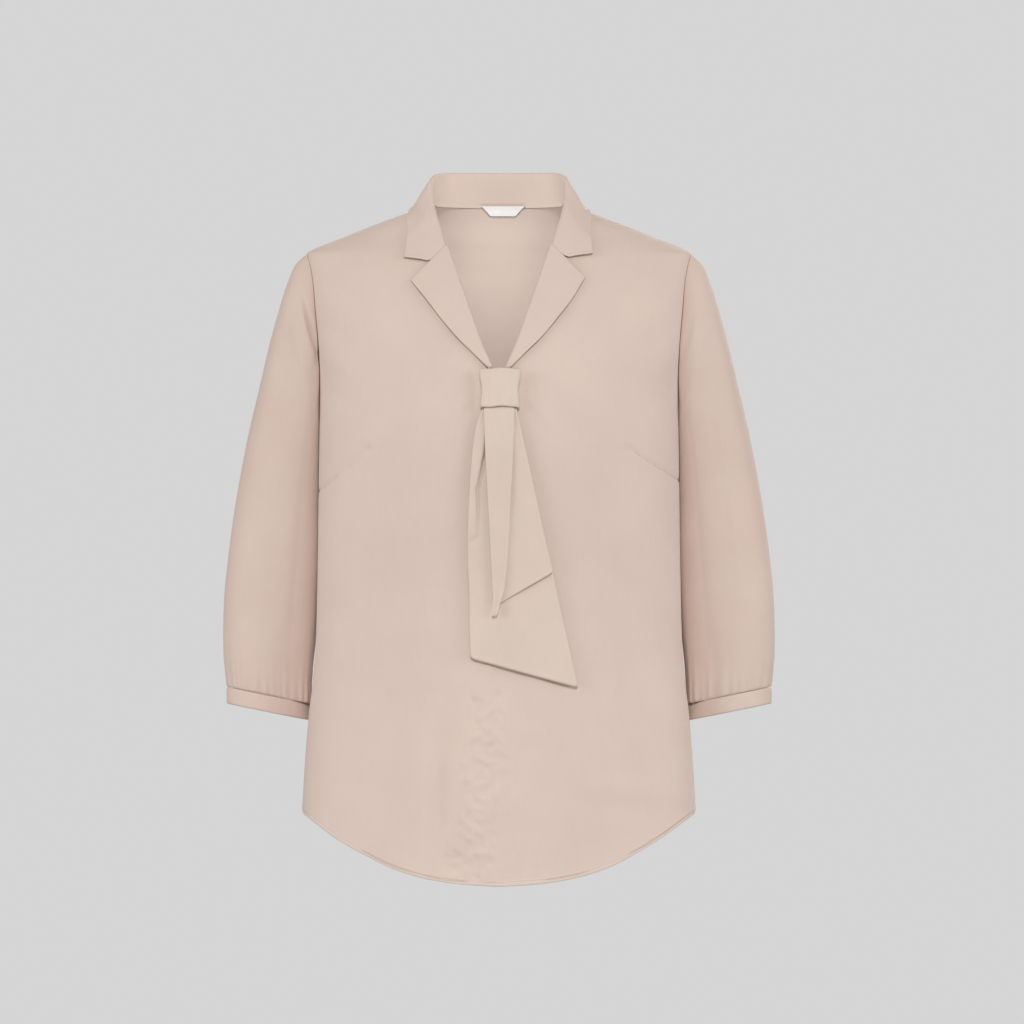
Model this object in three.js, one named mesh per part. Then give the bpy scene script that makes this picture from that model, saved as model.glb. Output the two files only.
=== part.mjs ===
// A woman's pullover blouse, filled out as if worn, with nobody in it.
// Notched collar on a stand, lapels that run into a small loop, three tie ends,
// bust-shaped front, shirt-tail hem, and three-quarter sleeves gathered into cuffs.
// Millimetres, +Z up, front towards -Y. Left and right are the wearer's: left is +X.
// The origin is midway between the neck points of the two shoulder seams.

import * as THREE from 'three';

// Driving sizes
const WALL = 1.8;              // modelled thickness of one layer of cloth
const CUFF_WALL = 2.2;         // a cuff is two layers
const SEAM_GAP = 0.3;          // space between pieces that are sewn together
const ARMHOLE_GAP = 0.45;      // the same, measured along X round the armhole
const NECK_POINT_Z = 7.5;      // where the shoulder seam meets the neck
const BACK_NECK_Z = 5;         // level of the back neck seam
const SHOULDER_Z = -42;        // shoulder point, the top of the armhole
const UNDERARM_Z = -205;       // bottom of the armhole
const ARMHOLE_FRONT = 48;      // how far the armhole is cut into the front
const ARMHOLE_BACK = 58;       // and into the back
const V_POINT_Z = -180;        // bottom of the V neck, under the loop
const CHEST_ROW_Z = -214;      // centre level of the first row below the armhole
const SIDE_HEM_Z = -600;       // hem at the side seam
const BUST = { x: 86, z: -236, lift: 8, width: 48, above: 62, below: 190 };
const BUST_WINDOW = 168;       // the bust shape has died away this far from the centre

// Grid counts
const SHOULDER_COLUMNS = 10;
const NECK_COLUMNS = 4;
const ARMHOLE_ROWS = 12;
const SKIRT_ROWS = 13;

// Colours of the cloth
const BODY_COLOUR = 0xd6c3b7;
const SLEEVE_COLOUR = 0xd4beb1;
const TIE_COLOUR = 0xd9c9bc;
const LABEL_COLOUR = 0xf1efec;
const CLOTH_ROUGHNESS = 0.72;

// Body sections: level, half width, depth in front of and behind the widest line,
// Y of the widest line, and the exponent of the superellipse
const BODY = [
  // z, halfWidth, front, back, sideY, exponent
  [12, 50, 24, 38, 0, 2.2],
  [7.5, 66, 27, 44, 0, 2.2],
  [-1, 92, 32, 49, 0, 2.2],
  [-13, 125, 39, 56, 0, 2.25],
  [-26, 157, 47, 63, 0, 2.3],
  [-36, 183, 54, 69, 0, 2.4],
  [-42, 192.5, 58, 73, -0.5, 2.5],
  [-63, 191, 71, 85, -2, 2.8],
  [-99, 188, 88, 99, -4, 3.0],
  [-138, 184, 100, 110, -7, 2.9],
  [-175, 181, 107, 117, -10, 2.7],
  [-205, 180, 110, 121, -13, 2.55],
  [-238, 180, 109, 127, -17, 2.45],
  [-300, 180.5, 102, 133, -22, 2.4],
  [-398, 182, 97, 136, -25, 2.35],
  [-438, 183.5, 97, 137, -26, 2.3],
  [-478, 187, 98, 138, -26, 2.3],
  [-498, 189.5, 99, 139, -26, 2.3],
  [-568, 195, 102, 143, -26, 2.3],
  [-600, 196.5, 104, 145, -26, 2.3],
  [-680, 199, 106, 147, -26, 2.3],
];

// Cut edge of the V neck, from the shoulder seam down: level and distance from the centre
const NECK_EDGE = [
  [7.5, 66], [5, 67.8], [0, 68.4], [-12, 64.6], [-24, 58.2], [-59, 44.4],
  [-100, 30], [-133, 19], [-161, 9.3], [V_POINT_Z, 0],
];
// Fold of the lapel and collar over that edge
const ROLL_LINE = [
  [5, 63.5], [-24, 53.8], [-59, 41.2], [-100, 27], [-133, 16], [-156, 6.8], [-162, 5.4],
];
// Levels of the front's rows along the V and then the centre line
const FRONT_INNER_Z = [
  NECK_POINT_Z, 5, -1, -12, -28, -48, -72, -98, -126, -154, V_POINT_Z, -197, CHEST_ROW_Z,
];
// Levels of the back's rows along its centre line
const BACK_INNER_Z = [
  BACK_NECK_Z, -2, -12, -26, -42, -60, -80, -101, -123, -146, -169, -192, CHEST_ROW_Z,
];
// The column that runs down the back from the neck point: level and distance from the centre
const BACK_NECK_COLUMN = [
  [NECK_POINT_Z, 66], [4, 67.6], [-3, 68], [-14, 67.5], [-29, 67], [-48, 66], [-69, 64],
  [-92, 62], [-116, 60], [-141, 57], [-165, 54], [-189, 51], [-211.5, 49],
];

// Hem: distance from the centre and level
const HEM = [
  [0, -673], [37, -670.5], [70, -665.5], [103, -656], [134, -641],
  [160, -626], [180, -612], [197, SIDE_HEM_Z],
];

// Sleeve rings from the armhole to the cuff: the outer and inner ends of each ring seen
// from the front, its centre in Y, its depths, and how deep its gathers are
const SLEEVE = [
  // outerX, outerZ, innerX, innerZ, centreY, front, back, gather
  [192.5, -42, 180, -205, -6, 48, 58, 0],
  [203.5, -53, 179, -211, -3, 49, 57, 0],
  [213, -75, 178, -219, 1, 50, 57, 0],
  [221, -101, 177.5, -231, 6, 51, 57, 0],
  [230, -134, 177, -248, 11, 52, 57, 0],
  [240, -177, 177, -270, 16, 53, 57, 0],
  [250, -219, 177.5, -296, 20, 53, 56, 0],
  [258.5, -262, 177, -322, 22, 52, 55, 0],
  [265.5, -303, 177.5, -348, 23, 51, 53, 0],
  [271, -345, 179, -375, 24, 49, 51, 0],
  [275, -385, 181, -403, 24, 47, 49, 0],
  [276, -418, 183.5, -430, 24, 45.5, 47, 0.5],
  [275.6, -442, 186, -455, 24, 44, 45, 1.5],
  [273.6, -461, 187.4, -476, 24, 42.5, 43, 2.1],
  [272, -474.7, 188, -491.7, 24, 40, 40, 0.8],
];
const SLEEVE_POINTS = 2 * ARMHOLE_ROWS;
const GATHER_SPLIT = 3;           // the ring has three times as many points where it is gathered
const GATHERED_FROM = 11;         // first ring with gathers
const GATHERS = 18;
const ARMHOLE_BLEND = 3;          // rings over which the armhole's own shape fades
const SLEEVE_CLEARANCE = 0.6;       // the sleeve lies this far from the body

const CUFF = { height: 17, rows: 3, points: 36, depth: 40.6, flare: 0.6 };

// Half of the collar, from the centre back to the end in front. Each row gives the
// seam edge of the stand, the fold at the top, and the outer edge of the fall
const COLLAR = [
  // seam x, y, z, fold x, y, z, edge x, y, z
  [0, 42.4, 5.5, 0, 45.5, 38, 0, 58, -8],
  [22, 40.9, 5.5, 22, 43.4, 38, 29, 55.5, -8],
  [42, 34.5, 5.6, 41, 36.5, 38, 56, 46, -7.5],
  [55.5, 23.5, 6.2, 54, 25, 37.6, 79, 29, -5],
  [62.3, 10.5, 8, 61, 10, 36, 88.8, 11, -0.3],
  [64, -3, 9, 63.6, -4, 30.5, 89.4, -7, -2.6],
  [62.6, -17, 4.5, 63.6, -18, 14, 90.4, -19.5, -12],
];
// The same in front of the shoulder seam, where the collar lies on the front
const COLLAR_FRONT = [
  // seam x, z, fold x, z, edge x, z
  [59, -9.5, 60.5, -2, 91.4, -24.6],
  [53.6, -24, 54.8, -18.5, 92.8, -37],
  [50, -33, 51, -31, 93.8, -44.6],
];
const COLLAR_LIFT = { seam: -1.9, fold: 4.4, edge: 3.4 };
const COLLAR_STATIONS = 15;       // along each half
const FOLD_WIDTH = 6.4;           // outside width of the collar's fold
const STAND_ROWS = 3;
const FOLD_ROWS = 3;
const FALL_BULGE = 2.2;
const FALL_LIFT = 3.6;            // least height of the fall's outer face over the body
// Rows of the fall, as shares of its depth. The third meets the notch at the front end
const FALL_SHARES = [0, 0.15, 0.3, 0.52, 0.76, 1];
// Line of the collar's front end: along the lapel to the notch, then to the corner
const COLLAR_END = [[50, -32.4], [51.2, -33], [68.4, -49.2], [93.8, -44.6]];
const COLLAR_END_FROM = 0.8;      // share of the collar where it starts to bend to that line

// Lapel: its outer edge seen from the front, from the tip to the loop
const LAPEL_TOP_Z = -33.6;
const LAPEL_EDGE = [[87, -67.6], [72.5, -87.8], [58, -106.6], [42, -125.6], [25.5, -141.8], [12.2, -155.6]];
const LAPEL_END_Z = -157.5;
// Section of the lapel: distance from the fold, share of the rest of its width, and height
// over the front. The distances shrink where the lapel is narrower than its full fold
const LAPEL_SECTION = [
  [0, 0, -1.7], [0, 0, 1.4], [0.9, 0, 3.3], [2.6, 0, 4.2], [3, 0.33, 3.8], [3, 0.7, 3], [3, 1, 2.5],
];
const LAPEL_FULL_FOLD = 12;
const LAPEL_WALL = 1.2;
const LAPEL_STATIONS = 12;

// Loop at the bottom of the V: its corners seen from the front and its height
const LOOP = { top: -157, bottom: -195, halfTop: 20.5, halfBottom: 19.2, middle: 1, height: 11.2, foot: 3 };
const LOOP_SECTION = [[-1, 0], [-0.985, 0.6], [-0.9, 0.9], [-0.5, 0.98], [0, 1],
  [0.5, 0.98], [0.9, 0.9], [0.985, 0.6], [1, 0]];

// Tie ends, top to bottom: level, left and right edge, then level at the right edge.
// lift is the height of the outer face over the front
const TIE_ENDS = {
  tie_end_long: {
    lift: 3.2,
    rows: [
      // left z, left x, right z, right x
      [-163, -14, -163, 14], [-194, -15, -194, 15], [-200, -17.9, -200, 17.9], [-224, -24.6, -228, 24.6],
      [-270, -29.2, -275, 35], [-312, -31, -318, 44.4], [-348, -31.4, -361, 53.6],
      [-381, -29.8, -396, 61], [-414, -29.5, -436, 69.8], [-446, -28.4, -475.4, 78.5],
    ],
    wall: 1.5,
  },
  tie_end_middle: {
    lift: 5.2,
    rows: [
      [-163, -13, -163, 15.5], [-197, -12, -197, 18], [-230, -10.5, -228, 24.8],
      [-275, -8.5, -266, 33.2], [-325, -6.5, -306, 41.8], [-362, -5, -334, 48],
      [-394.5, -4, -360, 53.8],
    ],
    wall: 1.5,
  },
  tie_end_narrow: {
    lift: 7.6,
    rows: [
      [-163, -15, -163, 15.5], [-195.7, -15.4, -195.7, 16], [-240, -14.2, -238, 15],
      [-289, -11.6, -285, 12.4], [-325, -9.7, -320, 10.9], [-360, -7.9, -352, 8.8],
      [-385, -6.3, -377, 6], [-398, -5.5, -390, 2.4], [-405, -6.4, -403, -3.6],
    ],
    wall: 1.2,
  },
};
const TIE_COLUMNS = 4;

// Blank label at the back neck: half widths and levels of its top and bottom edge
const LABEL = { middle: 4, top: 4.6, bottom: -6, halfTop: 21.5, halfBottom: 12.5, wall: 1, inside: 2.9 };

// Number helpers

function mix(a, b, share) {
  return a + (b - a) * share;
}

// Value of a table's column at a key, on a curve that never overshoots its rows
function lookUp(table, key, column) {
  const rising = table[table.length - 1][0] > table[0][0];
  const rows = rising ? table : [...table].reverse();
  if (key <= rows[0][0]) return rows[0][column];
  const last = rows.length - 1;
  if (key >= rows[last][0]) return rows[last][column];
  let i = 0;
  while (key > rows[i + 1][0]) i += 1;
  const slope = (k) => (rows[k + 1][column] - rows[k][column]) / (rows[k + 1][0] - rows[k][0]);
  const tangent = (k) => {
    if (k === 0) return slope(0);
    if (k === last) return slope(last - 1);
    const before = slope(k - 1);
    const after = slope(k);
    return before * after <= 0 ? 0 : (2 * before * after) / (before + after);
  };
  const step = rows[i + 1][0] - rows[i][0];
  const t = (key - rows[i][0]) / step;
  const t2 = t * t;
  const t3 = t2 * t;
  return (2 * t3 - 3 * t2 + 1) * rows[i][column] + (t3 - 2 * t2 + t) * step * tangent(i)
    + (3 * t2 - 2 * t3) * rows[i + 1][column] + (t3 - t2) * step * tangent(i + 1);
}

// Value at a key on the straight lines between a table's rows
function straight(table, key) {
  let i = 0;
  while (i < table.length - 2 && key > table[i + 1][0]) i += 1;
  const [[fromKey, from], [toKey, to]] = [table[i], table[i + 1]];
  return mix(from, to, Math.min(1, Math.max(0, (key - fromKey) / (toKey - fromKey))));
}

// Point at a share of the way along a table of stations, on a smooth curve
function along(table, share, first, count = 3) {
  const curve = new THREE.CatmullRomCurve3(
    table.map((row) => new THREE.Vector3(row[first], row[first + 1], count > 2 ? row[first + 2] : 0)),
    false, 'centripetal');
  return curve.getPoint(share);
}

// The form of the body

function section(z) {
  return {
    halfWidth: lookUp(BODY, z, 1),
    front: lookUp(BODY, z, 2),
    back: lookUp(BODY, z, 3),
    sideY: lookUp(BODY, z, 4),
    exponent: lookUp(BODY, z, 5),
  };
}

// Extra forward fullness that the bust darts give
function bustLift(x, z) {
  const away = Math.abs(x);
  if (away > BUST_WINDOW) return 0;
  const fade = Math.cos((away / BUST_WINDOW) * Math.PI / 2) ** 0.5;
  const reach = z > BUST.z ? BUST.above : BUST.below;
  const across = Math.exp(-(((away - BUST.x) / BUST.width) ** 2) / 2);
  return BUST.lift * fade * across * Math.exp(-(((z - BUST.z) / reach) ** 2) / 2);
}

// Depth of the form at a place seen from the front, on the front or the back
function depthAt(x, z, side) {
  const s = section(z);
  const ratio = Math.min(1, Math.abs(x) / s.halfWidth);
  const reach = (1 - ratio ** s.exponent) ** (1 / s.exponent);
  if (side === 'back') return s.sideY + s.back * reach;
  return s.sideY - s.front * reach - bustLift(x, z);
}

// Half width of the form at a depth and a level
function halfWidthAt(y, z) {
  const s = section(z);
  const away = y - s.sideY;
  const ratio = Math.min(1, Math.abs(away) / (away < 0 ? s.front : s.back));
  return s.halfWidth * (1 - ratio ** s.exponent) ** (1 / s.exponent);
}

// Level function of the form: it grows outwards, so its gradient is the normal
function level(x, y, z) {
  const s = section(z);
  const away = y - s.sideY;
  const depth = away < 0 ? Math.max(0, -away - bustLift(x, z)) / s.front : away / s.back;
  return (Math.abs(x) / s.halfWidth) ** s.exponent + depth ** s.exponent;
}

function gradientAt({ x, y, z }) {
  const h = 0.6;
  return new THREE.Vector3(
    level(x + h, y, z) - level(x - h, y, z),
    level(x, y + h, z) - level(x, y - h, z),
    level(x, y, z + h) - level(x, y, z - h),
  ).divideScalar(2 * h);
}

function normalAt(point) {
  return gradientAt(point).normalize();
}

// Move a point outwards until it is at least a given height over the form
function liftOff(point, height) {
  for (let step = 0; step < 4; step += 1) {
    const slope = gradientAt(point);
    const away = (level(point.x, point.y, point.z) - 1) / slope.length();
    if (away < height) point.addScaledVector(slope.normalize(), height - away);
  }
  return point;
}

// Point over the front at a place seen from the front
function overFront(x, z, lift) {
  const point = new THREE.Vector3(x, depthAt(x, z, 'front'), z);
  return point.addScaledVector(normalAt(point), lift);
}

// Cloth walls

// An open surface made of triangles, whose points are shared where they meet
class Sheet {
  constructor() {
    this.points = [];
    this.normals = [];
    this.faces = [];
    this.known = new Map();
  }

  add(point, normal = null) {
    const key = [point.x, point.y, point.z].map((v) => Math.round(v * 1000)).join(' ');
    if (!this.known.has(key)) {
      this.known.set(key, this.points.length);
      this.points.push(point.clone());
      this.normals.push(normal ? normal.clone() : null);
    }
    return this.known.get(key);
  }

  face(a, b, c, turned = false) {
    if (a !== b && b !== c && c !== a) this.faces.push(turned ? [a, c, b] : [a, b, c]);
  }

  // Faces between rows of point numbers. Turned rows face the other way
  rows(grid, { closed = false, turned = false } = {}) {
    for (let j = 0; j + 1 < grid.length; j += 1) {
      const width = grid[j].length;
      for (let i = 0; i < (closed ? width : width - 1); i += 1) {
        const k = (i + 1) % width;
        this.face(grid[j][i], grid[j + 1][i], grid[j][k], turned);
        this.face(grid[j][k], grid[j + 1][i], grid[j + 1][k], turned);
      }
    }
  }

  // Turn the whole surface over
  flip() {
    this.faces = this.faces.map(([a, b, c]) => [a, c, b]);
  }
}

// Closed wall of one thickness: the sheet is its outer side, and the inner side lies
// along each point's normal, which is the sheet's own where none is given
function wall(sheet, thickness) {
  const count = sheet.points.length;
  const own = sheet.points.map(() => new THREE.Vector3());
  for (const [a, b, c] of sheet.faces) {
    const ab = sheet.points[b].clone().sub(sheet.points[a]);
    const ac = sheet.points[c].clone().sub(sheet.points[a]);
    const cross = ab.cross(ac);
    for (const k of [a, b, c]) own[k].add(cross);
  }
  const positions = [];
  for (const point of sheet.points) positions.push(point.x, point.y, point.z);
  for (let k = 0; k < count; k += 1) {
    const normal = sheet.normals[k] || own[k].normalize();
    const inner = sheet.points[k].clone().addScaledVector(normal, -thickness);
    positions.push(inner.x, inner.y, inner.z);
  }
  const index = [];
  const edges = new Map();
  for (const [a, b, c] of sheet.faces) {
    index.push(a, b, c, count + a, count + c, count + b);
    for (const [from, to] of [[a, b], [b, c], [c, a]]) {
      if (!edges.delete(`${to} ${from}`)) edges.set(`${from} ${to}`, [from, to]);
    }
  }
  for (const [from, to] of edges.values()) {
    index.push(from, count + from, count + to, from, count + to, to);
  }
  const geometry = new THREE.BufferGeometry();
  geometry.setAttribute('position', new THREE.Float32BufferAttribute(positions, 3));
  geometry.setIndex(index);
  geometry.computeVertexNormals();
  return geometry;
}

const garment = new THREE.Group();

function addPiece(name, geometry, color) {
  const material = new THREE.MeshStandardMaterial({
    color, roughness: CLOTH_ROUGHNESS, metalness: 0, side: THREE.DoubleSide,
  });
  const mesh = new THREE.Mesh(geometry, material);
  mesh.name = name;
  garment.add(mesh);
}

// Front and back

// Point of the form at a level and an angle from the centre (0) to the side (90 degrees)
function formPoint(angle, z, side, hand) {
  const s = section(z);
  const x = s.halfWidth * Math.sin(angle);
  const seam = Math.abs(angle - Math.PI / 2) < 1e-6;
  const y = seam ? s.sideY : depthAt(x, z, side);
  return new THREE.Vector3(hand * x, y, z);
}

// Points round the front or back half of the armhole, from the shoulder to the underarm
function armholePoint(row, side, hand) {
  const turn = (row / ARMHOLE_ROWS) * Math.PI;
  const z = mix(SHOULDER_Z, UNDERARM_Z, (1 - Math.cos(turn)) / 2);
  const cut = (side === 'front' ? -ARMHOLE_FRONT : ARMHOLE_BACK) * Math.sin(turn);
  const y = section(z).sideY + (row === ARMHOLE_ROWS ? 0 : cut);
  return new THREE.Vector3(hand * halfWidthAt(y, z), y, z);
}

function angleOf(x, z) {
  return Math.asin(Math.min(1, Math.abs(x) / section(z).halfWidth));
}

// Angle and level of each point of a panel's row, from its inner to its outer edge
function panelRow(side, row, columns) {
  const quarter = Math.PI / 2;
  const outer = row <= ARMHOLE_ROWS ? armholePoint(row, side, 1) : null;
  const outerAngle = outer && row > 0 && row < ARMHOLE_ROWS ? angleOf(outer.x, outer.z) : quarter;
  const places = [];
  for (let i = 0; i <= columns; i += 1) {
    const share = i / columns;
    if (row > ARMHOLE_ROWS) {
      const [angle, top] = chestPlace(side, i, share);
      const hem = lookUp(HEM, section(SIDE_HEM_Z).halfWidth * Math.sin(angle), 1);
      places.push([angle, mix(top, hem, (row - ARMHOLE_ROWS) / SKIRT_ROWS)]);
    } else if (side === 'front') {
      const z = FRONT_INNER_Z[row];
      const innerAngle = row === 0 ? quarter : angleOf(lookUp(NECK_EDGE, z, 1), z);
      places.push([mix(innerAngle, outerAngle, share), mix(z, outer.z, share)]);
    } else {
      const [neckZ, neckX] = BACK_NECK_COLUMN[row];
      const neckAngle = row === 0 ? quarter : angleOf(neckX, neckZ);
      const past = (i - NECK_COLUMNS) / SHOULDER_COLUMNS;
      const near = i / NECK_COLUMNS;
      places.push(i > NECK_COLUMNS
        ? [mix(neckAngle, outerAngle, past), mix(neckZ, outer.z, past)]
        : [neckAngle * near, mix(BACK_INNER_Z[row], neckZ, near ** 2)]);
    }
  }
  return places;
}

// Angle and level of a column where the armhole ends
function chestPlace(side, column, share) {
  return side === 'front'
    ? [(Math.PI / 2) * share, mix(CHEST_ROW_Z, UNDERARM_Z, share)]
    : panelRow(side, ARMHOLE_ROWS, NECK_COLUMNS + SHOULDER_COLUMNS)[column];
}

function panel(side) {
  const columns = side === 'front' ? SHOULDER_COLUMNS : NECK_COLUMNS + SHOULDER_COLUMNS;
  const away = side === 'front' ? -SEAM_GAP / 2 : SEAM_GAP / 2;
  const sheet = new Sheet();
  for (const hand of [-1, 1]) {
    const grid = [];
    for (let row = 0; row <= ARMHOLE_ROWS + SKIRT_ROWS; row += 1) {
      const places = panelRow(side, row, columns);
      grid.push(places.map(([angle, z], i) => {
        const onArmhole = i === columns && row > 0 && row < ARMHOLE_ROWS;
        const point = onArmhole ? armholePoint(row, side, hand) : formPoint(angle, z, side, hand);
        const normal = normalAt(point);
        if (Math.abs(angle - Math.PI / 2) < 1e-6 && !onArmhole) point.y += away;
        return sheet.add(point, normal);
      }));
    }
    sheet.rows(grid, { turned: (side === 'front') !== (hand > 0) });
  }
  return wall(sheet, WALL);
}

addPiece('front', panel('front'), BODY_COLOUR);
addPiece('back', panel('back'), BODY_COLOUR);

// Sleeves and cuffs

// Point of a sleeve ring, at an angle from its outer end round by the front
function ringPoint(ring, turn, hand) {
  const [outerX, outerZ, innerX, innerZ, centreY, front, back, gather] = SLEEVE[ring];
  const wave = 1 + (gather / front) * Math.cos(GATHERS * turn + 0.9 * Math.sin(3 * turn));
  const reach = (Math.cos(turn) / 2) * wave;
  const x = (outerX + innerX) / 2 + (outerX - innerX) * reach;
  const z = (outerZ + innerZ) / 2 + (outerZ - innerZ) * reach;
  const y = centreY - Math.sin(turn) * wave * (Math.sin(turn) > 0 ? front : back);
  const clear = halfWidthAt(y, z) + SLEEVE_CLEARANCE;
  return new THREE.Vector3(hand * (ring > 0 ? Math.max(x, clear) : x), y, z);
}

// The armhole's own points, in the order of a ring's
function armholeRing(k, hand) {
  const point = k <= ARMHOLE_ROWS
    ? armholePoint(k, 'front', hand)
    : armholePoint(SLEEVE_POINTS - k, 'back', hand);
  point.x += hand * ARMHOLE_GAP;
  return point;
}

function sleeve(hand) {
  const sheet = new Sheet();
  const rings = SLEEVE.map((_, ring) => {
    const fine = ring >= GATHERED_FROM ? GATHER_SPLIT : 1;
    const line = [];
    for (let k = 0; k < SLEEVE_POINTS * fine; k += 1) {
      const turn = (k / (SLEEVE_POINTS * fine)) * 2 * Math.PI;
      const point = ringPoint(ring, turn, hand);
      let normal = null;
      if (ring < ARMHOLE_BLEND) {
        const kept = (1 - ring / ARMHOLE_BLEND) ** 2;
        const shift = armholeRing(k, hand).sub(ringPoint(0, turn, hand));
        point.addScaledVector(shift, kept);
      }
      if (ring === 0) {
        // Square to the shoulder at the top, and to the sleeve's own side below
        const body = normalAt(armholeRing(k, hand));
        const down = new THREE.Vector3(-hand * 0.9, 0, -0.44);
        const sideways = new THREE.Vector3(0, -Math.sin(turn), 0);
        const lower = (1 - Math.cos(turn)) / 2;
        normal = body.multiplyScalar(1 - lower).addScaledVector(down, lower).add(sideways).normalize();
      }
      line.push(sheet.add(point, normal));
    }
    return line;
  });
  sheet.rows(rings.slice(0, GATHERED_FROM), { closed: true });
  sheet.rows(rings.slice(GATHERED_FROM), { closed: true });
  splitRing(sheet, rings[GATHERED_FROM - 1], rings[GATHERED_FROM]);
  if (hand > 0) sheet.flip();
  return wall(sheet, WALL);
}

// Join a ring to the next one, which has more points
function splitRing(sheet, coarse, fine) {
  coarse.forEach((here, k) => {
    const next = coarse[(k + 1) % coarse.length];
    const below = [0, 1, 2, 3].map((n) => fine[(k * GATHER_SPLIT + n) % fine.length]);
    sheet.face(here, below[0], below[1]);
    sheet.face(here, below[1], below[2]);
    sheet.face(here, below[2], next);
    sheet.face(next, below[2], below[3]);
  });
}

function cuff(hand) {
  const sheet = new Sheet();
  const [outerX, outerZ, innerX, innerZ, centreY] = SLEEVE[SLEEVE.length - 1];
  const across = new THREE.Vector3(outerX - innerX, 0, outerZ - innerZ);
  const radius = across.length() / 2;
  across.normalize();
  const down = new THREE.Vector3(0, 0, -1);
  const centre = new THREE.Vector3((outerX + innerX) / 2, centreY, (outerZ + innerZ) / 2);
  const grid = [];
  for (let row = 0; row < CUFF.rows; row += 1) {
    const share = row / (CUFF.rows - 1);
    const line = [];
    const drop = SEAM_GAP + share * (CUFF.height - SEAM_GAP);
    const swell = CUFF.flare * (1 + share) / 2;
    for (let k = 0; k < CUFF.points; k += 1) {
      const turn = (k / CUFF.points) * 2 * Math.PI;
      const point = centre.clone()
        .addScaledVector(across, (radius + swell) * Math.cos(turn))
        .addScaledVector(down, drop);
      point.y -= (CUFF.depth + swell) * Math.sin(turn);
      point.x *= hand;
      line.push(sheet.add(point));
    }
    grid.push(line);
  }
  sheet.rows(grid, { closed: true });
  if (hand > 0) sheet.flip();
  return wall(sheet, CUFF_WALL);
}

for (const [word, hand] of [['left', 1], ['right', -1]]) {
  addPiece(`sleeve_${word}`, sleeve(hand), SLEEVE_COLOUR);
  addPiece(`cuff_${word}`, cuff(hand), SLEEVE_COLOUR);
}

// Collar: a stand that rises from the neck seam, folds over and falls outside

const COLLAR_ROWS = [...COLLAR, ...COLLAR_FRONT.map(([seamX, seamZ, foldX, foldZ, edgeX, edgeZ]) => [
  ...overFront(seamX, seamZ, COLLAR_LIFT.seam).toArray(),
  ...overFront(foldX, foldZ, COLLAR_LIFT.fold).toArray(),
  ...overFront(edgeX, edgeZ, COLLAR_LIFT.edge).toArray(),
])];

function collarSection(share, hand) {
  const seam = along(COLLAR_ROWS, share, 0);
  const fold = along(COLLAR_ROWS, share, 3);
  const edge = along(COLLAR_ROWS, share, 6);
  const out = edge.clone().sub(fold).setZ(0).normalize();
  const standTop = fold.clone().addScaledVector(new THREE.Vector3(0, 0, 1), -FOLD_WIDTH / 2);
  const line = [];
  const room = Math.min(1, (fold.z - seam.z) / FOLD_WIDTH);
  standTop.z = fold.z - (FOLD_WIDTH / 2) * room;
  for (let k = 0; k < STAND_ROWS; k += 1) line.push(seam.clone().lerp(standTop, k / STAND_ROWS));
  const centre = standTop.clone().addScaledVector(out, FOLD_WIDTH / 2);
  for (let k = 0; k < FOLD_ROWS; k += 1) {
    const turn = Math.PI * (k / FOLD_ROWS);
    const point = centre.clone()
      .addScaledVector(out, (-Math.cos(turn) * FOLD_WIDTH) / 2)
      .add(new THREE.Vector3(0, 0, (Math.sin(turn) * FOLD_WIDTH * room) / 2));
    line.push(k > 0 ? liftOff(point, FALL_LIFT) : point);
  }
  const fallTop = centre.clone().addScaledVector(out, FOLD_WIDTH / 2);
  for (const down of FALL_SHARES) {
    const point = fallTop.clone().lerp(edge, down);
    point.z += FALL_BULGE * Math.sin(Math.PI * down);
    line.push(liftOff(point, FALL_LIFT));
  }
  const nearEnd = Math.max(0, (share - COLLAR_END_FROM) / (1 - COLLAR_END_FROM)) ** 2;
  line.forEach((point, k) => {
    const lift = k <= STAND_ROWS ? mix(COLLAR_LIFT.seam, 1, k / STAND_ROWS) : COLLAR_LIFT.fold;
    point.lerp(overFront(point.x, straight(COLLAR_END, point.x), lift), nearEnd);
  });
  return line.map((point) => new THREE.Vector3(hand * point.x, point.y, point.z));
}

function collar() {
  const sheet = new Sheet();
  for (const hand of [-1, 1]) {
    const grid = [];
    for (let k = 0; k <= COLLAR_STATIONS; k += 1) {
      grid.push(collarSection(k / COLLAR_STATIONS, hand).map((point) => sheet.add(point)));
    }
    sheet.rows(grid, { turned: hand < 0 });
  }
  return wall(sheet, WALL);
}

addPiece('collar', collar(), BODY_COLOUR);

// Lapels: each lies on the front and turns over the edge of the V

function lapel(hand) {
  const sheet = new Sheet();
  const grid = [];
  for (let k = 0; k <= LAPEL_STATIONS; k += 1) {
    const share = k / LAPEL_STATIONS;
    const foldZ = mix(LAPEL_TOP_Z, LAPEL_END_Z, share);
    const fold = [lookUp(ROLL_LINE, foldZ, 1), foldZ];
    const edge = along(LAPEL_EDGE, share, 0, 2);
    const width = Math.hypot(edge.x - fold[0], edge.y - fold[1]);
    const folded = Math.min(1, width / LAPEL_FULL_FOLD);
    grid.push(LAPEL_SECTION.map(([distance, rest, lift]) => {
      const reach = mix((distance * folded) / width, 1, rest);
      const point = overFront(mix(fold[0], edge.x, reach), mix(fold[1], edge.y, reach), lift);
      return sheet.add(new THREE.Vector3(hand * point.x, point.y, point.z));
    }));
  }
  sheet.rows(grid, { turned: hand < 0 });
  return wall(sheet, LAPEL_WALL);
}

addPiece('lapel_left', lapel(1), BODY_COLOUR);
addPiece('lapel_right', lapel(-1), BODY_COLOUR);

// Tie: a loop at the bottom of the V and the three ends that hang from it

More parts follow.
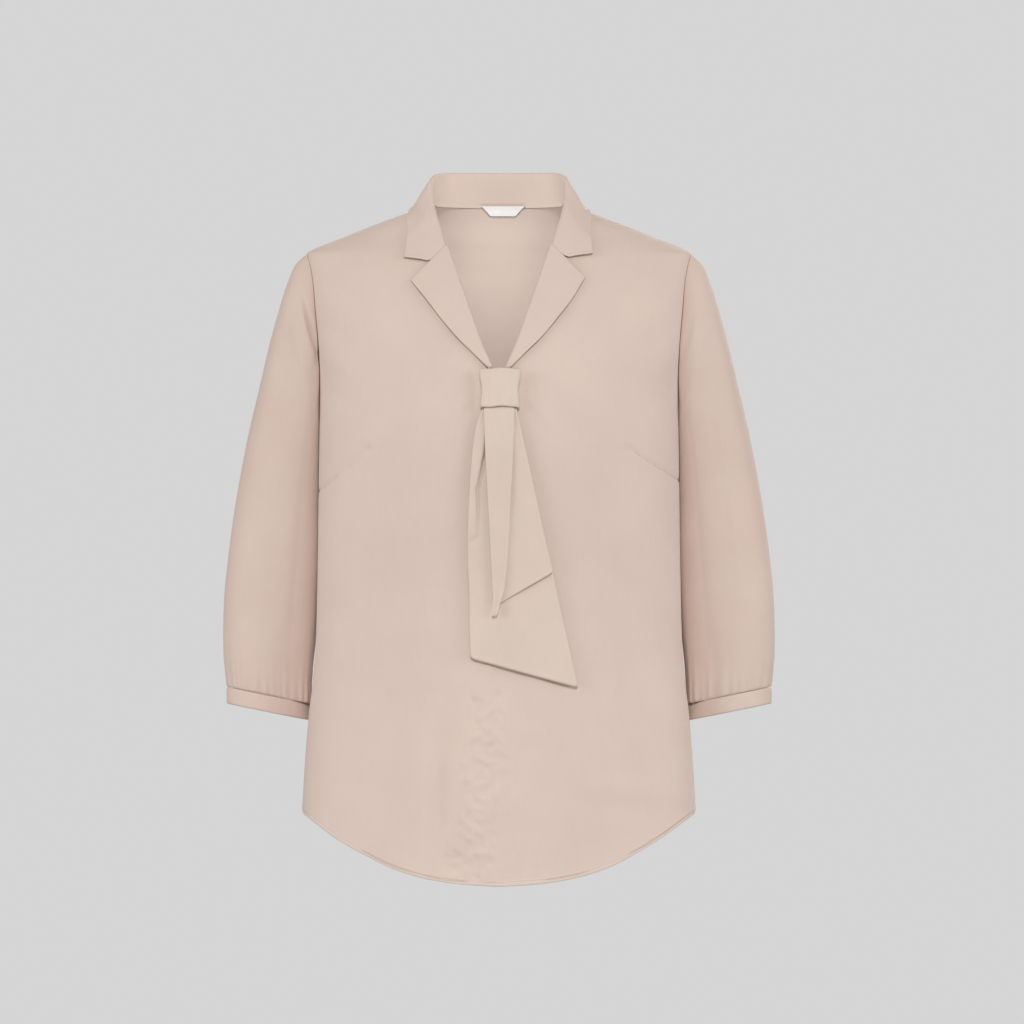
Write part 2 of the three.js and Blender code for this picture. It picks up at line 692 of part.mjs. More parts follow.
function tieLoop() {
  const sheet = new Sheet();
  const rows = 3;
  const grid = [];
  for (let row = 0; row <= rows; row += 1) {
    const z = mix(LOOP.top, LOOP.bottom, row / rows);
    const half = mix(LOOP.halfTop, LOOP.halfBottom, row / rows);
    grid.push(LOOP_SECTION.map(([across, rise]) => (
      sheet.add(overFront(LOOP.middle + across * half, z, mix(LOOP.foot, LOOP.height, rise))))));
  }
  sheet.rows(grid);
  return wall(sheet, WALL);
}

function tieEnd({ lift, rows, wall: thickness }) {
  const sheet = new Sheet();
  const grid = rows.map(([leftZ, leftX, rightZ, rightX]) => {
    const line = [];
    for (let i = 0; i <= TIE_COLUMNS; i += 1) {
      const share = i / TIE_COLUMNS;
      line.push(sheet.add(overFront(mix(leftX, rightX, share), mix(leftZ, rightZ, share), lift)));
    }
    return line;
  });
  sheet.rows(grid);
  return wall(sheet, thickness);
}

addPiece('tie_loop', tieLoop(), TIE_COLOUR);
for (const [name, end] of Object.entries(TIE_ENDS)) addPiece(name, tieEnd(end), TIE_COLOUR);

// Blank label inside the back neck

function label() {
  const sheet = new Sheet();
  const columns = 6;
  const grid = [0, 0.5, 1].map((down) => {
    const z = mix(LABEL.top, LABEL.bottom, down);
    const half = mix(LABEL.halfTop, LABEL.halfBottom, down);
    const line = [];
    for (let i = 0; i <= columns; i += 1) {
      const x = LABEL.middle + mix(-half, half, i / columns);
      const point = new THREE.Vector3(x, depthAt(x, z, 'back'), z);
      line.push(sheet.add(point.addScaledVector(normalAt(point), -LABEL.inside)));
    }
    return line;
  });
  sheet.rows(grid, { turned: true });
  return wall(sheet, LABEL.wall);
}

addPiece('neck_label', label(), LABEL_COLOUR);

export default garment;
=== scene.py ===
"""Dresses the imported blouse: fine cloth shells on the forms of its solids, with seams,
gathers, creases and stitching, in soft studio light.

The shapes are worked out in millimetres, +Z up, front towards -Y, and turned into metres
when a mesh is made. Left and right are the wearer's: left is +X.
"""

import math
import random

import bpy
import numpy as np
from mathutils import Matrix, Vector


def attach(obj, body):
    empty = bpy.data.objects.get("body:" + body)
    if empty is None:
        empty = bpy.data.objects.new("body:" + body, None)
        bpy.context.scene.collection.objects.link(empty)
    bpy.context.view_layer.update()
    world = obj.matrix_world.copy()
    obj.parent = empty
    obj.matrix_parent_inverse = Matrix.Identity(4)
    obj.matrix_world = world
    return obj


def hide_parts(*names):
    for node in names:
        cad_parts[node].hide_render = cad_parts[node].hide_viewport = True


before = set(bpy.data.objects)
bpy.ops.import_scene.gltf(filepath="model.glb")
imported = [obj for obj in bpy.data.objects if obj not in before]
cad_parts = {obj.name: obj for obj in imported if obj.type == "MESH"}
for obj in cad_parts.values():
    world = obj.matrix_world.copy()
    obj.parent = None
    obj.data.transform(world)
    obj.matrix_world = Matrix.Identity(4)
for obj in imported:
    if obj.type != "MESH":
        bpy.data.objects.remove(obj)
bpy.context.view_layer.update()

MM = 0.001
CLOTH = 0.9                # thickness of one layer as shown, then of the pieces that differ
CUFF_CLOTH = 1.6
LAPEL_CLOTH = 1.2
LOOP_CLOTH = 1.2
TIE_END_CLOTH = 1.3
LABEL_TAPE = 0.5
QUARTER = math.pi / 2
AMBIENT = 0.46             # light from all round
FRONT_LIGHT = 1.4
SIDE_LIGHT = 1.0
BACK_LIGHT = 1.0
INSIDE_LIGHT = 0.062       # fills the inside of the neck

# The cut, as in the solids
NECK_POINT_Z = 7.5
BACK_NECK_Z = 5
SHOULDER_Z = -42
UNDERARM_Z = -205
ARMHOLE_FRONT = 38         # nearer to the side than the solids' edge, which is 48
ARMHOLE_BACK = 58
V_POINT_Z = -180
CHEST_ROW_Z = -214
SIDE_HEM_Z = -600
BUST = dict(x=86, z=-236, lift=8, width=48, above=62, below=190)
BUST_WINDOW = 168
HEM_WIDTH = 5.2
HEM_STITCH = 3.8
HEM_CORNER = 20
NECK_COLUMNS = 4
SHOULDER_COLUMNS = 10
ARMHOLE_ROWS = 12
SKIRT_ROWS = 13

BODY = [
    # z, half width, front depth, back depth, side y, exponent
    (12, 50, 24, 38, 0, 2.2),
    (7.5, 66, 27, 44, 0, 2.2),
    (-1, 92, 32, 49, 0, 2.2),
    (-13, 125, 39, 56, 0, 2.25),
    (-26, 157, 47, 63, 0, 2.3),
    (-36, 183, 54, 69, 0, 2.4),
    (-42, 192.5, 58, 73, -0.5, 2.5),
    (-63, 191, 71, 85, -2, 2.8),
    (-99, 188, 88, 99, -4, 3.0),
    (-138, 184, 100, 110, -7, 2.9),
    (-175, 181, 107, 117, -10, 2.7),
    (-205, 180, 110, 121, -13, 2.55),
    (-238, 180, 109, 127, -17, 2.45),
    (-300, 180.5, 102, 133, -22, 2.4),
    (-398, 182, 97, 136, -25, 2.35),
    (-438, 183.5, 97, 137, -26, 2.3),
    (-478, 187, 98, 138, -26, 2.3),
    (-498, 189.5, 99, 139, -26, 2.3),
    (-568, 195, 102, 143, -26, 2.3),
    (-600, 196.5, 104, 145, -26, 2.3),
    (-680, 199, 106, 147, -26, 2.3),
]
NECK_EDGE = [
    (7.5, 66), (5, 67.8), (0, 68.4), (-12, 64.6), (-24, 58.2), (-59, 44.4),
    (-100, 30), (-133, 19), (-161, 9.3), (V_POINT_Z, 0),
]
ROLL_LINE = [(5, 63.8), (-24, 55), (-59, 42.6), (-100, 28), (-133, 16.4), (-156, 6.8), (-162, 5.4)]
FRONT_INNER_Z = [7.5, 5, -1, -12, -28, -48, -72, -98, -126, -154, V_POINT_Z, -197, CHEST_ROW_Z]
BACK_INNER_Z = [5, -2, -12, -26, -42, -60, -80, -101, -123, -146, -169, -192, CHEST_ROW_Z]
BACK_NECK_COLUMN = [
    (7.5, 66), (4, 67.6), (-3, 68), (-14, 67.5), (-29, 67), (-48, 66), (-69, 64),
    (-92, 62), (-116, 60), (-141, 57), (-165, 54), (-189, 51), (-211.5, 49),
]
HEM = [
    (0, -673), (37, -670.5), (70, -665.5), (103, -656), (134, -641),
    (160, -626), (180, -612), (197, SIDE_HEM_Z),
]
SLEEVE = [
    # outer x, outer z, inner x, inner z, centre y, front, back
    (192.5, -42, 180, -205, -6, 48, 58),
    (203.5, -53, 179, -211, -3, 49, 57),
    (213, -75, 178, -219, 1, 50, 57),
    (221, -101, 177.5, -231, 6, 51, 57),
    (230, -134, 177, -248, 11, 52, 57),
    (240, -177, 177, -270, 16, 53, 57),
    (250, -219, 177.5, -296, 20, 53, 56),
    (258.5, -262, 177, -322, 22, 52, 55),
    (265.5, -303, 177.5, -348, 23, 51, 53),
    (271, -345, 179, -375, 24, 49, 51),
    (275, -385, 181, -403, 24, 47, 49),
    (276, -418, 183.5, -430, 24, 45.5, 47),
    (275.6, -442, 186, -455, 24, 44, 45),
    (273.6, -461, 187.4, -476, 24, 42.5, 43),
    (272, -474.7, 188, -491.7, 24, 40, 40),
]
SLEEVE_CLEARANCE = 0.3
SLEEVE_FLATNESS = 0.5
# Creases that run from each armhole seam to the underarm, as seen from the front
PULLS = {
    -1: [(-77, 198), (-93, 193.5), (-115, 188.5), (-141, 181)],
    1: [(-84, 199), (-100, 194.5), (-122, 189.5), (-150, 181)],
}
PULL_DEPTH = {-1: 2.8, 1: 0.5}
ARMHOLE_BLEND = 3
COLLAR = [
    # seam x, y, z, fold x, y, z, edge x, y, z
    (0, 42.4, 5.5, 0, 45.5, 39.6, 0, 58, -8),
    (22, 40.9, 5.5, 22, 43.4, 39.6, 29, 55.5, -8),
    (42, 34.5, 5.6, 40.5, 36.5, 39.6, 56, 46, -7.5),
    (55.5, 23.5, 6.2, 52.8, 25, 39.6, 79, 29, -5),
    (62.3, 10.5, 8, 60.4, 10, 38, 88.8, 11, -0.3),
    (64.8, -3, 9, 65.8, -4, 31, 89.4, -7, -2.6),
    (63.6, -17, 4.5, 65.4, -18, 14, 90.4, -19.5, -12),
]
COLLAR_FRONT = [
    # seam x, z, fold x, z, edge x, z
    (60.2, -9.5, 61.8, -2, 91.4, -24.6),
    (54.9, -24, 56, -18.5, 92.8, -37),
    (51.2, -33, 52.2, -31, 93.8, -44.6),
]
STAND_OVERLAP = 0.9        # the stand covers the back's upper edge by this much
STAND_INSIDE = 1.95        # and its face lies this far inside the back's outer side
COLLAR_LIFT = (-1.9, 4.4, 3.4)
# Front end of the collar: along the lapel to the notch, then to the corner. The two sides
# hang a little differently
COLLAR_END = {
    1: [(51.2, -33.4), (52.4, -34.4), (65.5, -47.5), (92.6, -44.4)],
    -1: [(51.2, -34.6), (52.4, -35.8), (68.4, -50.8), (94.6, -48)],
}
COLLAR_END_LIFT = [(51, 4.2), (68, 3.6), (94, 4.8)]
COLLAR_END_FROM = 0.8
COLLAR_SMOOTHINGS = 24
FOLD_WIDTH = 5.4
FALL_BULGE = 0.6
FALL_LIFT = 3.6
FALL_EDGE_LIFT = 1.9
LAPEL_TOP_Z = {1: -33.8, -1: -34.6}
LAPEL_END_Z = -157.5
LAPEL_EDGE = [(87, -67.6), (72.5, -89.2), (58, -108), (42, -127), (25.5, -143), (12.2, -156.4)]
LAPEL_SECTION = [
    # distance from the fold, share of the rest, height over the front
    (0, 0, -1.7), (0, 0, 1.4), (0.9, 0, 3.3), (2.6, 0, 4.2), (3, 0.33, 3.8), (3, 0.7, 3), (3, 1, 2.5),
]
LAPEL_FULL_FOLD = 12
LAPEL_TIP = {1: (85.8, -67.4), -1: (88, -70)}


# Numbers

def mix(a, b, share):
    return a + (b - a) * share


class Curve:
    """A table's column against its first one, smooth and never past its rows."""

    def __init__(self, table, column=1):
        rows = sorted(table, key=lambda row: row[0])
        self.keys = np.array([row[0] for row in rows], float)
        self.values = np.array([row[column] for row in rows], float)
        self.steps = np.diff(self.keys)
        slope = np.diff(self.values) / self.steps
        before, after = slope[:-1], slope[1:]
        total = np.where(before + after == 0, 1, before + after)
        inner = np.where(before * after > 0, 2 * before * after / total, 0)
        self.tangents = np.concatenate([slope[:1], inner, slope[-1:]])

    def __call__(self, key):
        key = np.clip(key, self.keys[0], self.keys[-1])
        i = np.clip(np.searchsorted(self.keys, key, side="right") - 1, 0, len(self.steps) - 1)
        step = self.steps[i]
        t = (key - self.keys[i]) / step
        return ((2 * t**3 - 3 * t**2 + 1) * self.values[i]
                + (t**3 - 2 * t**2 + t) * step * self.tangents[i]
                + (3 * t**2 - 2 * t**3) * self.values[i + 1]
                + (t**3 - t**2) * step * self.tangents[i + 1])


def by_row(values):
    """Curve through values at 0, 1, 2 and so on."""
    return Curve(list(enumerate(values)))


def straight(table, key):
    return np.interp(key, [row[0] for row in table], [row[1] for row in table])


def bell(distance, width):
    return np.exp(-((distance / width) ** 2) / 2)


def points(x, y, z):
    return np.stack(np.broadcast_arrays(x, y, z), axis=-1).astype(float)


def resample(path, count):
    """Points along smooth curves, evenly spaced or at given places. path is [..., point, xyz]."""
    total = path.shape[-2]
    index = np.linspace(0, total - 1, count) if np.ndim(count) == 0 else count
    k = np.clip(index.astype(int), 0, total - 2)
    t = (index - k)[:, None]
    before = path[..., np.maximum(k - 1, 0), :]
    here = path[..., k, :]
    after = path[..., k + 1, :]
    beyond = path[..., np.minimum(k + 2, total - 1), :]
    return 0.5 * (2 * here + (after - before) * t
                  + (2 * before - 5 * here + 4 * after - beyond) * t**2
                  + (3 * here - before - 3 * after + beyond) * t**3)


# The form of the body

HALF_WIDTH, FRONT_DEPTH, BACK_DEPTH, SIDE_Y, EXPONENT = (Curve(BODY, k) for k in range(1, 6))
NECK_X = Curve(NECK_EDGE)
HEM_Z = Curve(HEM)
ROLL_X = Curve(ROLL_LINE)


def bust_lift(x, z):
    away = np.abs(x)
    fade = np.sqrt(np.maximum(0, np.cos(np.minimum(away / BUST_WINDOW, 1) * QUARTER)))
    reach = np.where(z > BUST["z"], BUST["above"], BUST["below"])
    return BUST["lift"] * fade * bell(away - BUST["x"], BUST["width"]) * bell(z - BUST["z"], reach)


def depth_at(x, z, side):
    ratio = np.minimum(1, np.abs(x) / HALF_WIDTH(z))
    reach = (1 - ratio ** EXPONENT(z)) ** (1 / EXPONENT(z))
    if side == "back":
        return SIDE_Y(z) + BACK_DEPTH(z) * reach
    return SIDE_Y(z) - FRONT_DEPTH(z) * reach - bust_lift(x, z)


def half_width_at(y, z):
    away = y - SIDE_Y(z)
    depth = np.where(away < 0, FRONT_DEPTH(z), BACK_DEPTH(z))
    ratio = np.minimum(1, np.abs(away) / depth)
    return HALF_WIDTH(z) * (1 - ratio ** EXPONENT(z)) ** (1 / EXPONENT(z))


def level(p):
    """Grows outwards through the form, and is 1 on it."""
    x, y, z = p[..., 0], p[..., 1], p[..., 2]
    away = y - SIDE_Y(z)
    front = np.maximum(0, -away - bust_lift(x, z)) / FRONT_DEPTH(z)
    depth = np.where(away < 0, front, away / BACK_DEPTH(z))
    return (np.abs(x) / HALF_WIDTH(z)) ** EXPONENT(z) + np.abs(depth) ** EXPONENT(z)


def gradient(p):
    h = 0.6
    parts = []
    for axis in range(3):
        step = np.zeros(3)
        step[axis] = h
        parts.append((level(p + step) - level(p - step)) / (2 * h))
    return np.stack(parts, axis=-1)


def unit(v):
    return v / np.maximum(np.linalg.norm(v, axis=-1, keepdims=True), 1e-9)


def over_front(x, z, lift):
    p = points(x, depth_at(x, z, "front"), z)
    return p + unit(gradient(p)) * np.asarray(lift, float)[..., None]


def lift_off(p, height):
    for _ in range(4):
        slope = gradient(p)
        length = np.linalg.norm(slope, axis=-1)
        short = np.maximum(0, height - (level(p) - 1) / length)
        p = p + slope / length[..., None] * short[..., None]
    return p


# Meshes

def cloth(name, grids, thickness):
    """Mesh of one or more grids of points [row, column, xyz], welded where they meet.

    Each grid is (points, turned, closed). Its UV map is the distance along the cloth, in
    metres. The wall is filled in behind the grid's outer side."""
    verts, faces, uvs = [], [], []
    start = 0
    for p, turned, closed in grids:
        rows, columns = p.shape[:2]
        number = start + np.arange(rows * columns).reshape(rows, columns)
        across = np.linalg.norm(np.diff(p, axis=1), axis=-1)
        down = np.linalg.norm(np.diff(p, axis=0), axis=-1)
        u = np.concatenate([np.zeros((rows, 1)), np.cumsum(across, axis=1)], axis=1)
        u = u - (u[:, -1:] / 2 if closed else 0)
        v = np.concatenate([np.zeros((1, columns)), np.cumsum(down, axis=0)], axis=0)
        uv = np.stack([u * MM, -v * MM], axis=-1)
        if closed:
            number = np.concatenate([number, number[:, :1]], axis=1)
            last = uv[:, -1] + np.stack(
                [np.linalg.norm(p[:, 0] - p[:, -1], axis=-1) * MM, np.zeros(rows)], axis=-1)
            uv = np.concatenate([uv, last[:, None]], axis=1)
        quad = [(0, 0), (1, 0), (1, 1), (0, 1)]
        if turned:
            quad.reverse()
        height, width = number.shape[0] - 1, number.shape[1] - 1
        faces.append(np.stack([number[a:a + height, b:b + width] for a, b in quad], axis=-1).reshape(-1, 4))
        uvs.append(np.stack([uv[a:a + height, b:b + width] for a, b in quad], axis=2).reshape(-1, 2))
        verts.append(p.reshape(-1, 3))
        start += rows * columns
    mesh = bpy.data.meshes.new(f"{name}_cloth")
    mesh.from_pydata((np.concatenate(verts) * MM).tolist(), [], np.concatenate(faces).tolist())
    layer = mesh.uv_layers.new(name="cloth")
    layer.data.foreach_set("uv", np.concatenate(uvs).ravel())
    piece = bpy.data.objects.new(f"{name}_cloth", mesh)
    bpy.context.scene.collection.objects.link(piece)
    if len(grids) > 1:
        weld = piece.modifiers.new("weld", "WELD")
        weld.merge_threshold = 0.00002
    shell = piece.modifiers.new("wall", "SOLIDIFY")
    shell.thickness = thickness * MM
    shell.offset = -1
    shell.use_even_offset = False
    apply_modifiers(piece)
    piece.data.shade_smooth()
    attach(piece, "root")
    return piece


def apply_modifiers(piece):
    graph = bpy.context.evaluated_depsgraph_get()
    made = bpy.data.meshes.new_from_object(piece.evaluated_get(graph))
    old = piece.data
    piece.modifiers.clear()
    piece.data = made
    made.name = piece.name
    bpy.data.meshes.remove(old)


# Materials

def srgb(red, green, blue):
    """Linear colour of an 8-bit one."""
    def linear(value):
        c = value / 255
        return c / 12.92 if c <= 0.04045 else ((c + 0.055) / 1.055) ** 2.4
    return (linear(red), linear(green), linear(blue), 1)


def crepe(name, light, dark, patch, sheen=0.14):
    """Smooth woven crepe: fine crossed threads, an irregular grain and faint patches."""
    material = bpy.data.materials.new(name)
    material.use_nodes = True
    nodes, links = material.node_tree.nodes, material.node_tree.links
    shader = nodes["Principled BSDF"]
    shader.inputs["Roughness"].default_value = 0.62
    shader.inputs["Sheen Weight"].default_value = sheen
    shader.inputs["Sheen Roughness"].default_value = 0.45
    shader.inputs["Specular IOR Level"].default_value = 0.28
    place = nodes.new("ShaderNodeTexCoord")

    def noise(scale, detail):
        node = nodes.new("ShaderNodeTexNoise")
        node.inputs["Scale"].default_value = scale
        node.inputs["Detail"].default_value = detail
        links.new(place.outputs["Object"], node.inputs["Vector"])
        return node.outputs["Fac"]

    def blend(kind, factor, a, b):
        node = nodes.new("ShaderNodeMix")
        node.data_type = "RGBA"
        node.blend_type = kind
        for socket, value in ((node.inputs[0], factor), (node.inputs[6], a), (node.inputs[7], b)):
            if hasattr(value, "is_linked"):
                links.new(value, socket)
            else:
                socket.default_value = value
        return node.outputs[2]

    def ramp(source, low, high):
        node = nodes.new("ShaderNodeMapRange")
        node.inputs["From Min"].default_value = low
        node.inputs["From Max"].default_value = high
        links.new(source, node.inputs["Value"])
        return node.outputs["Result"]

    fall = nodes.new("ShaderNodeMapping")
    fall.inputs["Scale"].default_value = (1, 1, 0.22)
    links.new(place.outputs["Object"], fall.inputs["Vector"])
    streaks = nodes.new("ShaderNodeTexNoise")
    streaks.inputs["Scale"].default_value = 260
    streaks.inputs["Detail"].default_value = 3
    links.new(fall.outputs["Vector"], streaks.inputs["Vector"])
    color = blend("MIX", ramp(noise(14, 3), 0.35, 0.68), light, dark)
    color = blend("MIX", ramp(noise(6, 2), 0.5, 0.72), color, patch)
    color = blend("MULTIPLY", ramp(streaks.outputs["Fac"], 0.4, 0.75), color, (0.988, 0.986, 0.985, 1))
    threads = []
    for direction in ("X", "Y"):
        wave = nodes.new("ShaderNodeTexWave")
        wave.bands_direction = direction
        wave.inputs["Scale"].default_value = 520
        wave.inputs["Distortion"].default_value = 1.2
        wave.inputs["Detail"].default_value = 1
        links.new(place.outputs["UV"], wave.inputs["Vector"])
        threads.append(wave.outputs["Fac"])
    weave = nodes.new("ShaderNodeMath")
    weave.operation = "ADD"
    links.new(threads[0], weave.inputs[0])
    links.new(threads[1], weave.inputs[1])
    grain = nodes.new("ShaderNodeMath")
    grain.operation = "MULTIPLY_ADD"
    links.new(noise(900, 2), grain.inputs[0])
    grain.inputs[1].default_value = 2.2
    links.new(weave.outputs[0], grain.inputs[2])
    bump = nodes.new("ShaderNodeBump")
    bump.inputs["Strength"].default_value = 0.22
    bump.inputs["Distance"].default_value = 0.0002
    links.new(grain.outputs[0], bump.inputs["Height"])
    links.new(bump.outputs["Normal"], shader.inputs["Normal"])
    links.new(color, shader.inputs["Base Color"])
    return material


BACKDROP = srgb(213, 213, 213)
BODY_CLOTH = crepe("body_cloth", srgb(219, 202, 191), srgb(215, 197, 187), srgb(218, 199, 189))
SLEEVE_CLOTH = crepe("sleeve_cloth", srgb(218, 200, 189), srgb(215, 195, 184), srgb(219, 196, 186))
TIE_CLOTH = crepe("tie_cloth", srgb(220, 205, 193), srgb(216, 200, 189), srgb(221, 202, 191))
THREAD = crepe("thread", srgb(190, 165, 150), srgb(184, 158, 144), srgb(190, 164, 150), sheen=0.1)
LABEL_CLOTH = crepe("label_cloth", srgb(250, 250, 250), srgb(246, 246, 246), srgb(250, 250, 250), sheen=0.1)
# Dark grey thread for the stitches round the label. Its dark colour is painted shade, standing in for the
# thin shadow along the label's edges
LABEL_SHADE_THREAD = crepe("painted_label_shade", srgb(88, 104, 100), srgb(80, 96, 92), srgb(88, 104, 100), sheen=0.1)


def finish_piece(piece, material, node):
    piece.data.materials.clear()
    piece.data.materials.append(material)
    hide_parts(node)


# Front and back

CRINKLES = 110
CRINKLE_PITCH = 1.66
# Soft folds that grow towards the hem: x, width, height
FRONT_FOLDS = [
    (-152, 17, 2.2), (-108, 20, -1.6), (-80, 12, 0.9), (-51, 11, -2.6), (-24, 10, 1.2),
    (32, 15, 1.4), (66, 17, -1.3), (112, 20, 1.8), (156, 15, -1.8),
]
BACK_FOLDS = [
    (-146, 18, 3.2), (-98, 15, -3.4), (-46, 16, 2.6), (6, 18, -3),
    (58, 17, 3.6), (104, 14, -2.8), (150, 16, 2.6),
]
# Pulls at the armholes: z at the side, height
FRONT_PULLS = [(-84, 1.2), (-112, -1.3), (-142, 1.0), (-176, -0.9)]
BACK_PULLS = [(-96, 1.6), (-128, -1.44), (-160, 1.12)]
SIDE_X = 180
DART_START_X = 181
DART_LENGTH = 48


def crinkles(x, z, seed, top, middle, size):
    """A column of small crossed creases, as where cloth was folded.

    middle is the column's x at its top and at its bottom."""
    rng = random.Random(seed)
    height = np.zeros_like(x)
    for row in range(CRINKLES):
        at_z = top - CRINKLE_PITCH * row + rng.uniform(-3, 3)
        at_x = mix(*middle, row / (CRINKLES - 1)) + rng.uniform(-19, 19)
        tilt = rng.uniform(-1.5, 1.5)
        along = (x - at_x) + tilt * (z - at_z)
        over = (z - at_z) - tilt * (x - at_x)
        crease = rng.choice((-1, 1)) * rng.uniform(0.4, 1.2) * bell(over, rng.uniform(2.2, 3.6))
        height += size * crease * bell(along, rng.uniform(3, 8))
    return height


def front_relief(x, z):
    """Height of the front's creases over its plain form, in millimetres."""
    height = np.zeros_like(x)
    drop = np.clip((-250 - z) / 380, 0, 1)
    for at, width, size in FRONT_FOLDS:
        sway = 7 * np.sin(z / 85 + at)
        height += size * drop * bell(x - at - sway, width)
    height += crinkles(x, z, 5, -484, (-10, -27), 1)
    # The dip beside them and the one above the hem
    height -= 4.6 * bell(x + 52, 8.5) * np.exp(-(((z + 566) / 52) ** 4))
    height -= 2.8 * bell(x + 40, 12) * bell(z + 652, 10)
    # A soft fold across the lower right, and pulls from the loop and the armholes
    height += 1.6 * bell(z + 576 + 0.12 * (x - 135), 9) * bell(x - 132, 34)
    height -= 1.3 * bell(z + 596 + 0.12 * (x - 135), 10) * bell(x - 126, 30)
    for hand in (-1, 1):
        near = x * hand
        height -= 0.6 * bell(near - 24, 2.5) * bell(z + 176, 13)
        along = z + 190 + 0.9 * (near - 30)
        height += 0.9 * bell(along, 5) * bell(near - 44, 14)
    away = np.abs(x)
    for start, size in FRONT_PULLS:
        along = z - start + 0.55 * (SIDE_X - away)
        height += size * bell(along, 8) * bell(away - 160, 20)
    return height


def dart_line(x, share):
    """Height of a dart's line, from the side seam at 0 to its point at 1."""
    return np.where(np.asarray(x) > 0, -269 + 30 * share, -280 + 41 * share)


def dart_relief(x, z):
    """The stitched line of each bust dart and the pucker at its point."""
    away = np.abs(x)
    share = (DART_START_X - away) / DART_LENGTH
    line_z = dart_line(x, share)
    inside = 1 / (1 + np.exp(np.clip((share - 1) * 30, -40, 40)))
    below = z - line_z
    groove = -1.6 * bell(below, 1.1) * inside
    ridge = 0.6 * np.exp(-np.maximum(0, -below) / 7) * (below < 0) * inside * (0.4 + 0.6 * share)
    ripple = 0.28 * np.sin(away * 1.35) * bell(below, 4) * inside
    point = -0.9 * bell(away - 131, 3) * bell(z + 238, 3) + 0.8 * bell(away - 127, 3) * bell(z + 231, 3)
    fade = 1.5 * bell(away - 118, 14) * bell(z + 226, 12)
    return groove + ridge + ripple + point + fade


def panel_grid(side, rows, places):
    """Points and outward normals of the left half of the front or back.

    rows are row numbers as in the solids, and places are column numbers, both with parts
    of a row or column between."""
    v = np.asarray(rows, float)[:, None]
    i = np.asarray(places, float)[None, :]
    upper = np.minimum(v, ARMHOLE_ROWS)
    turn = upper / ARMHOLE_ROWS * math.pi
    outer_z = mix(SHOULDER_Z, UNDERARM_Z, (1 - np.cos(turn)) / 2)
    cut = (-ARMHOLE_FRONT if side == "front" else ARMHOLE_BACK) * np.sin(turn)
    outer_x = half_width_at(SIDE_Y(outer_z) + cut, outer_z)

    def angle_of(x, z):
        return np.arcsin(np.minimum(1, x / HALF_WIDTH(z)))

    outer_angle = np.where(np.sin(turn) < 1e-9, QUARTER, angle_of(outer_x, outer_z))
    if side == "front":
        inner_z = by_row(FRONT_INNER_Z)(upper)
        inner_angle = np.where(upper == 0, QUARTER, angle_of(NECK_X(inner_z), inner_z))
        share = i / SHOULDER_COLUMNS
        angle = mix(inner_angle, outer_angle, share)
        z = mix(inner_z, outer_z, share)
    else:
        middle_z = by_row(BACK_INNER_Z)(upper)
        neck_z = by_row([row[0] for row in BACK_NECK_COLUMN])(upper)
        neck_x = by_row([row[1] for row in BACK_NECK_COLUMN])(upper)
        neck_angle = np.where(upper == 0, QUARTER, angle_of(neck_x, neck_z))
        near = np.minimum(i / NECK_COLUMNS, 1)
        past = np.maximum((i - NECK_COLUMNS) / SHOULDER_COLUMNS, 0)
        angle = np.where(past > 0, mix(neck_angle, outer_angle, past), neck_angle * near)
        z = np.where(past > 0, mix(neck_z, outer_z, past), mix(middle_z, neck_z, near**2))
    below = np.maximum(v - ARMHOLE_ROWS, 0) / SKIRT_ROWS
    hem = HEM_Z(HALF_WIDTH(SIDE_HEM_Z) * np.sin(angle))
    z = mix(z, hem, below)
    x = HALF_WIDTH(z) * np.sin(angle)
    on_side = np.abs(angle - QUARTER) < 1e-7
    y = np.where(on_side, SIDE_Y(z), depth_at(x, z, side))
    base = points(x, y, z)
    return base, unit(gradient(base))


def stretches(*parts):
    """Numbers from part to part, each part (last number, how many steps)."""
    made = [0.0]
    for last, count in parts:
        made += np.linspace(made[-1], last, count + 1)[1:].tolist()
    return np.array(made)


def with_edges(places, size, near=(), far=()):
    """Adds places at set distances in mm from the first and the last of them."""
    first, last = places[0], places[-1]
    extra = [first + d / size for d in near] + [last - d / size for d in far]
    return np.unique(np.round(np.concatenate([places, extra]), 5))


def edge_dip(p, depth=0.45, reach=1.5):
    """How far a panel's surface sinks at its sewn edges: its first row and last column."""
    across = np.linalg.norm(p - p[:, -1:], axis=-1)
    down = np.linalg.norm(p - p[:1], axis=-1)
    return -depth * (np.exp(-(across / reach) ** 2) + np.exp(-(down / reach) ** 2))


def hem_relief(p):
    """The turned hem: thicker than the cloth above it, with a groove where it is sewn."""
    rise = np.linalg.norm(p - p[-1:], axis=-1)
    fold = 0.35 / (1 + np.exp(np.minimum(rise - HEM_WIDTH, 30) * 2))
    return fold - 0.5 * bell(rise - HEM_STITCH, 0.6) - 0.5 * np.exp(-rise / 0.8)


def turned_edge(away, swell=0.4, dip=0.6):
    """A pressed edge: a soft ridge where the cloth is turned, and a fall to the edge itself."""
    return swell * bell(away - 1.3, 1) - dip * np.exp(-away / 0.7)


def round_corner(p, radius):
    """Rounds the grid's last corner, where the hem meets the side seam."""
    across = np.linalg.norm(p - p[:, -1:], axis=-1)
    up = np.linalg.norm(p - p[-1:], axis=-1)
    a = np.clip(1 - across / radius, 0, 1)
    b = np.clip(1 - up / radius, 0, 1)
    both = np.hypot(a, b)
    keep = np.where(both > 0, np.maximum(a, b) / np.maximum(both, 1e-9), 1)
    lift = radius * b * (1 - keep)
    moved = p.copy()
    moved[..., 2] += lift * (a > 0) * (b > 0)
    return moved


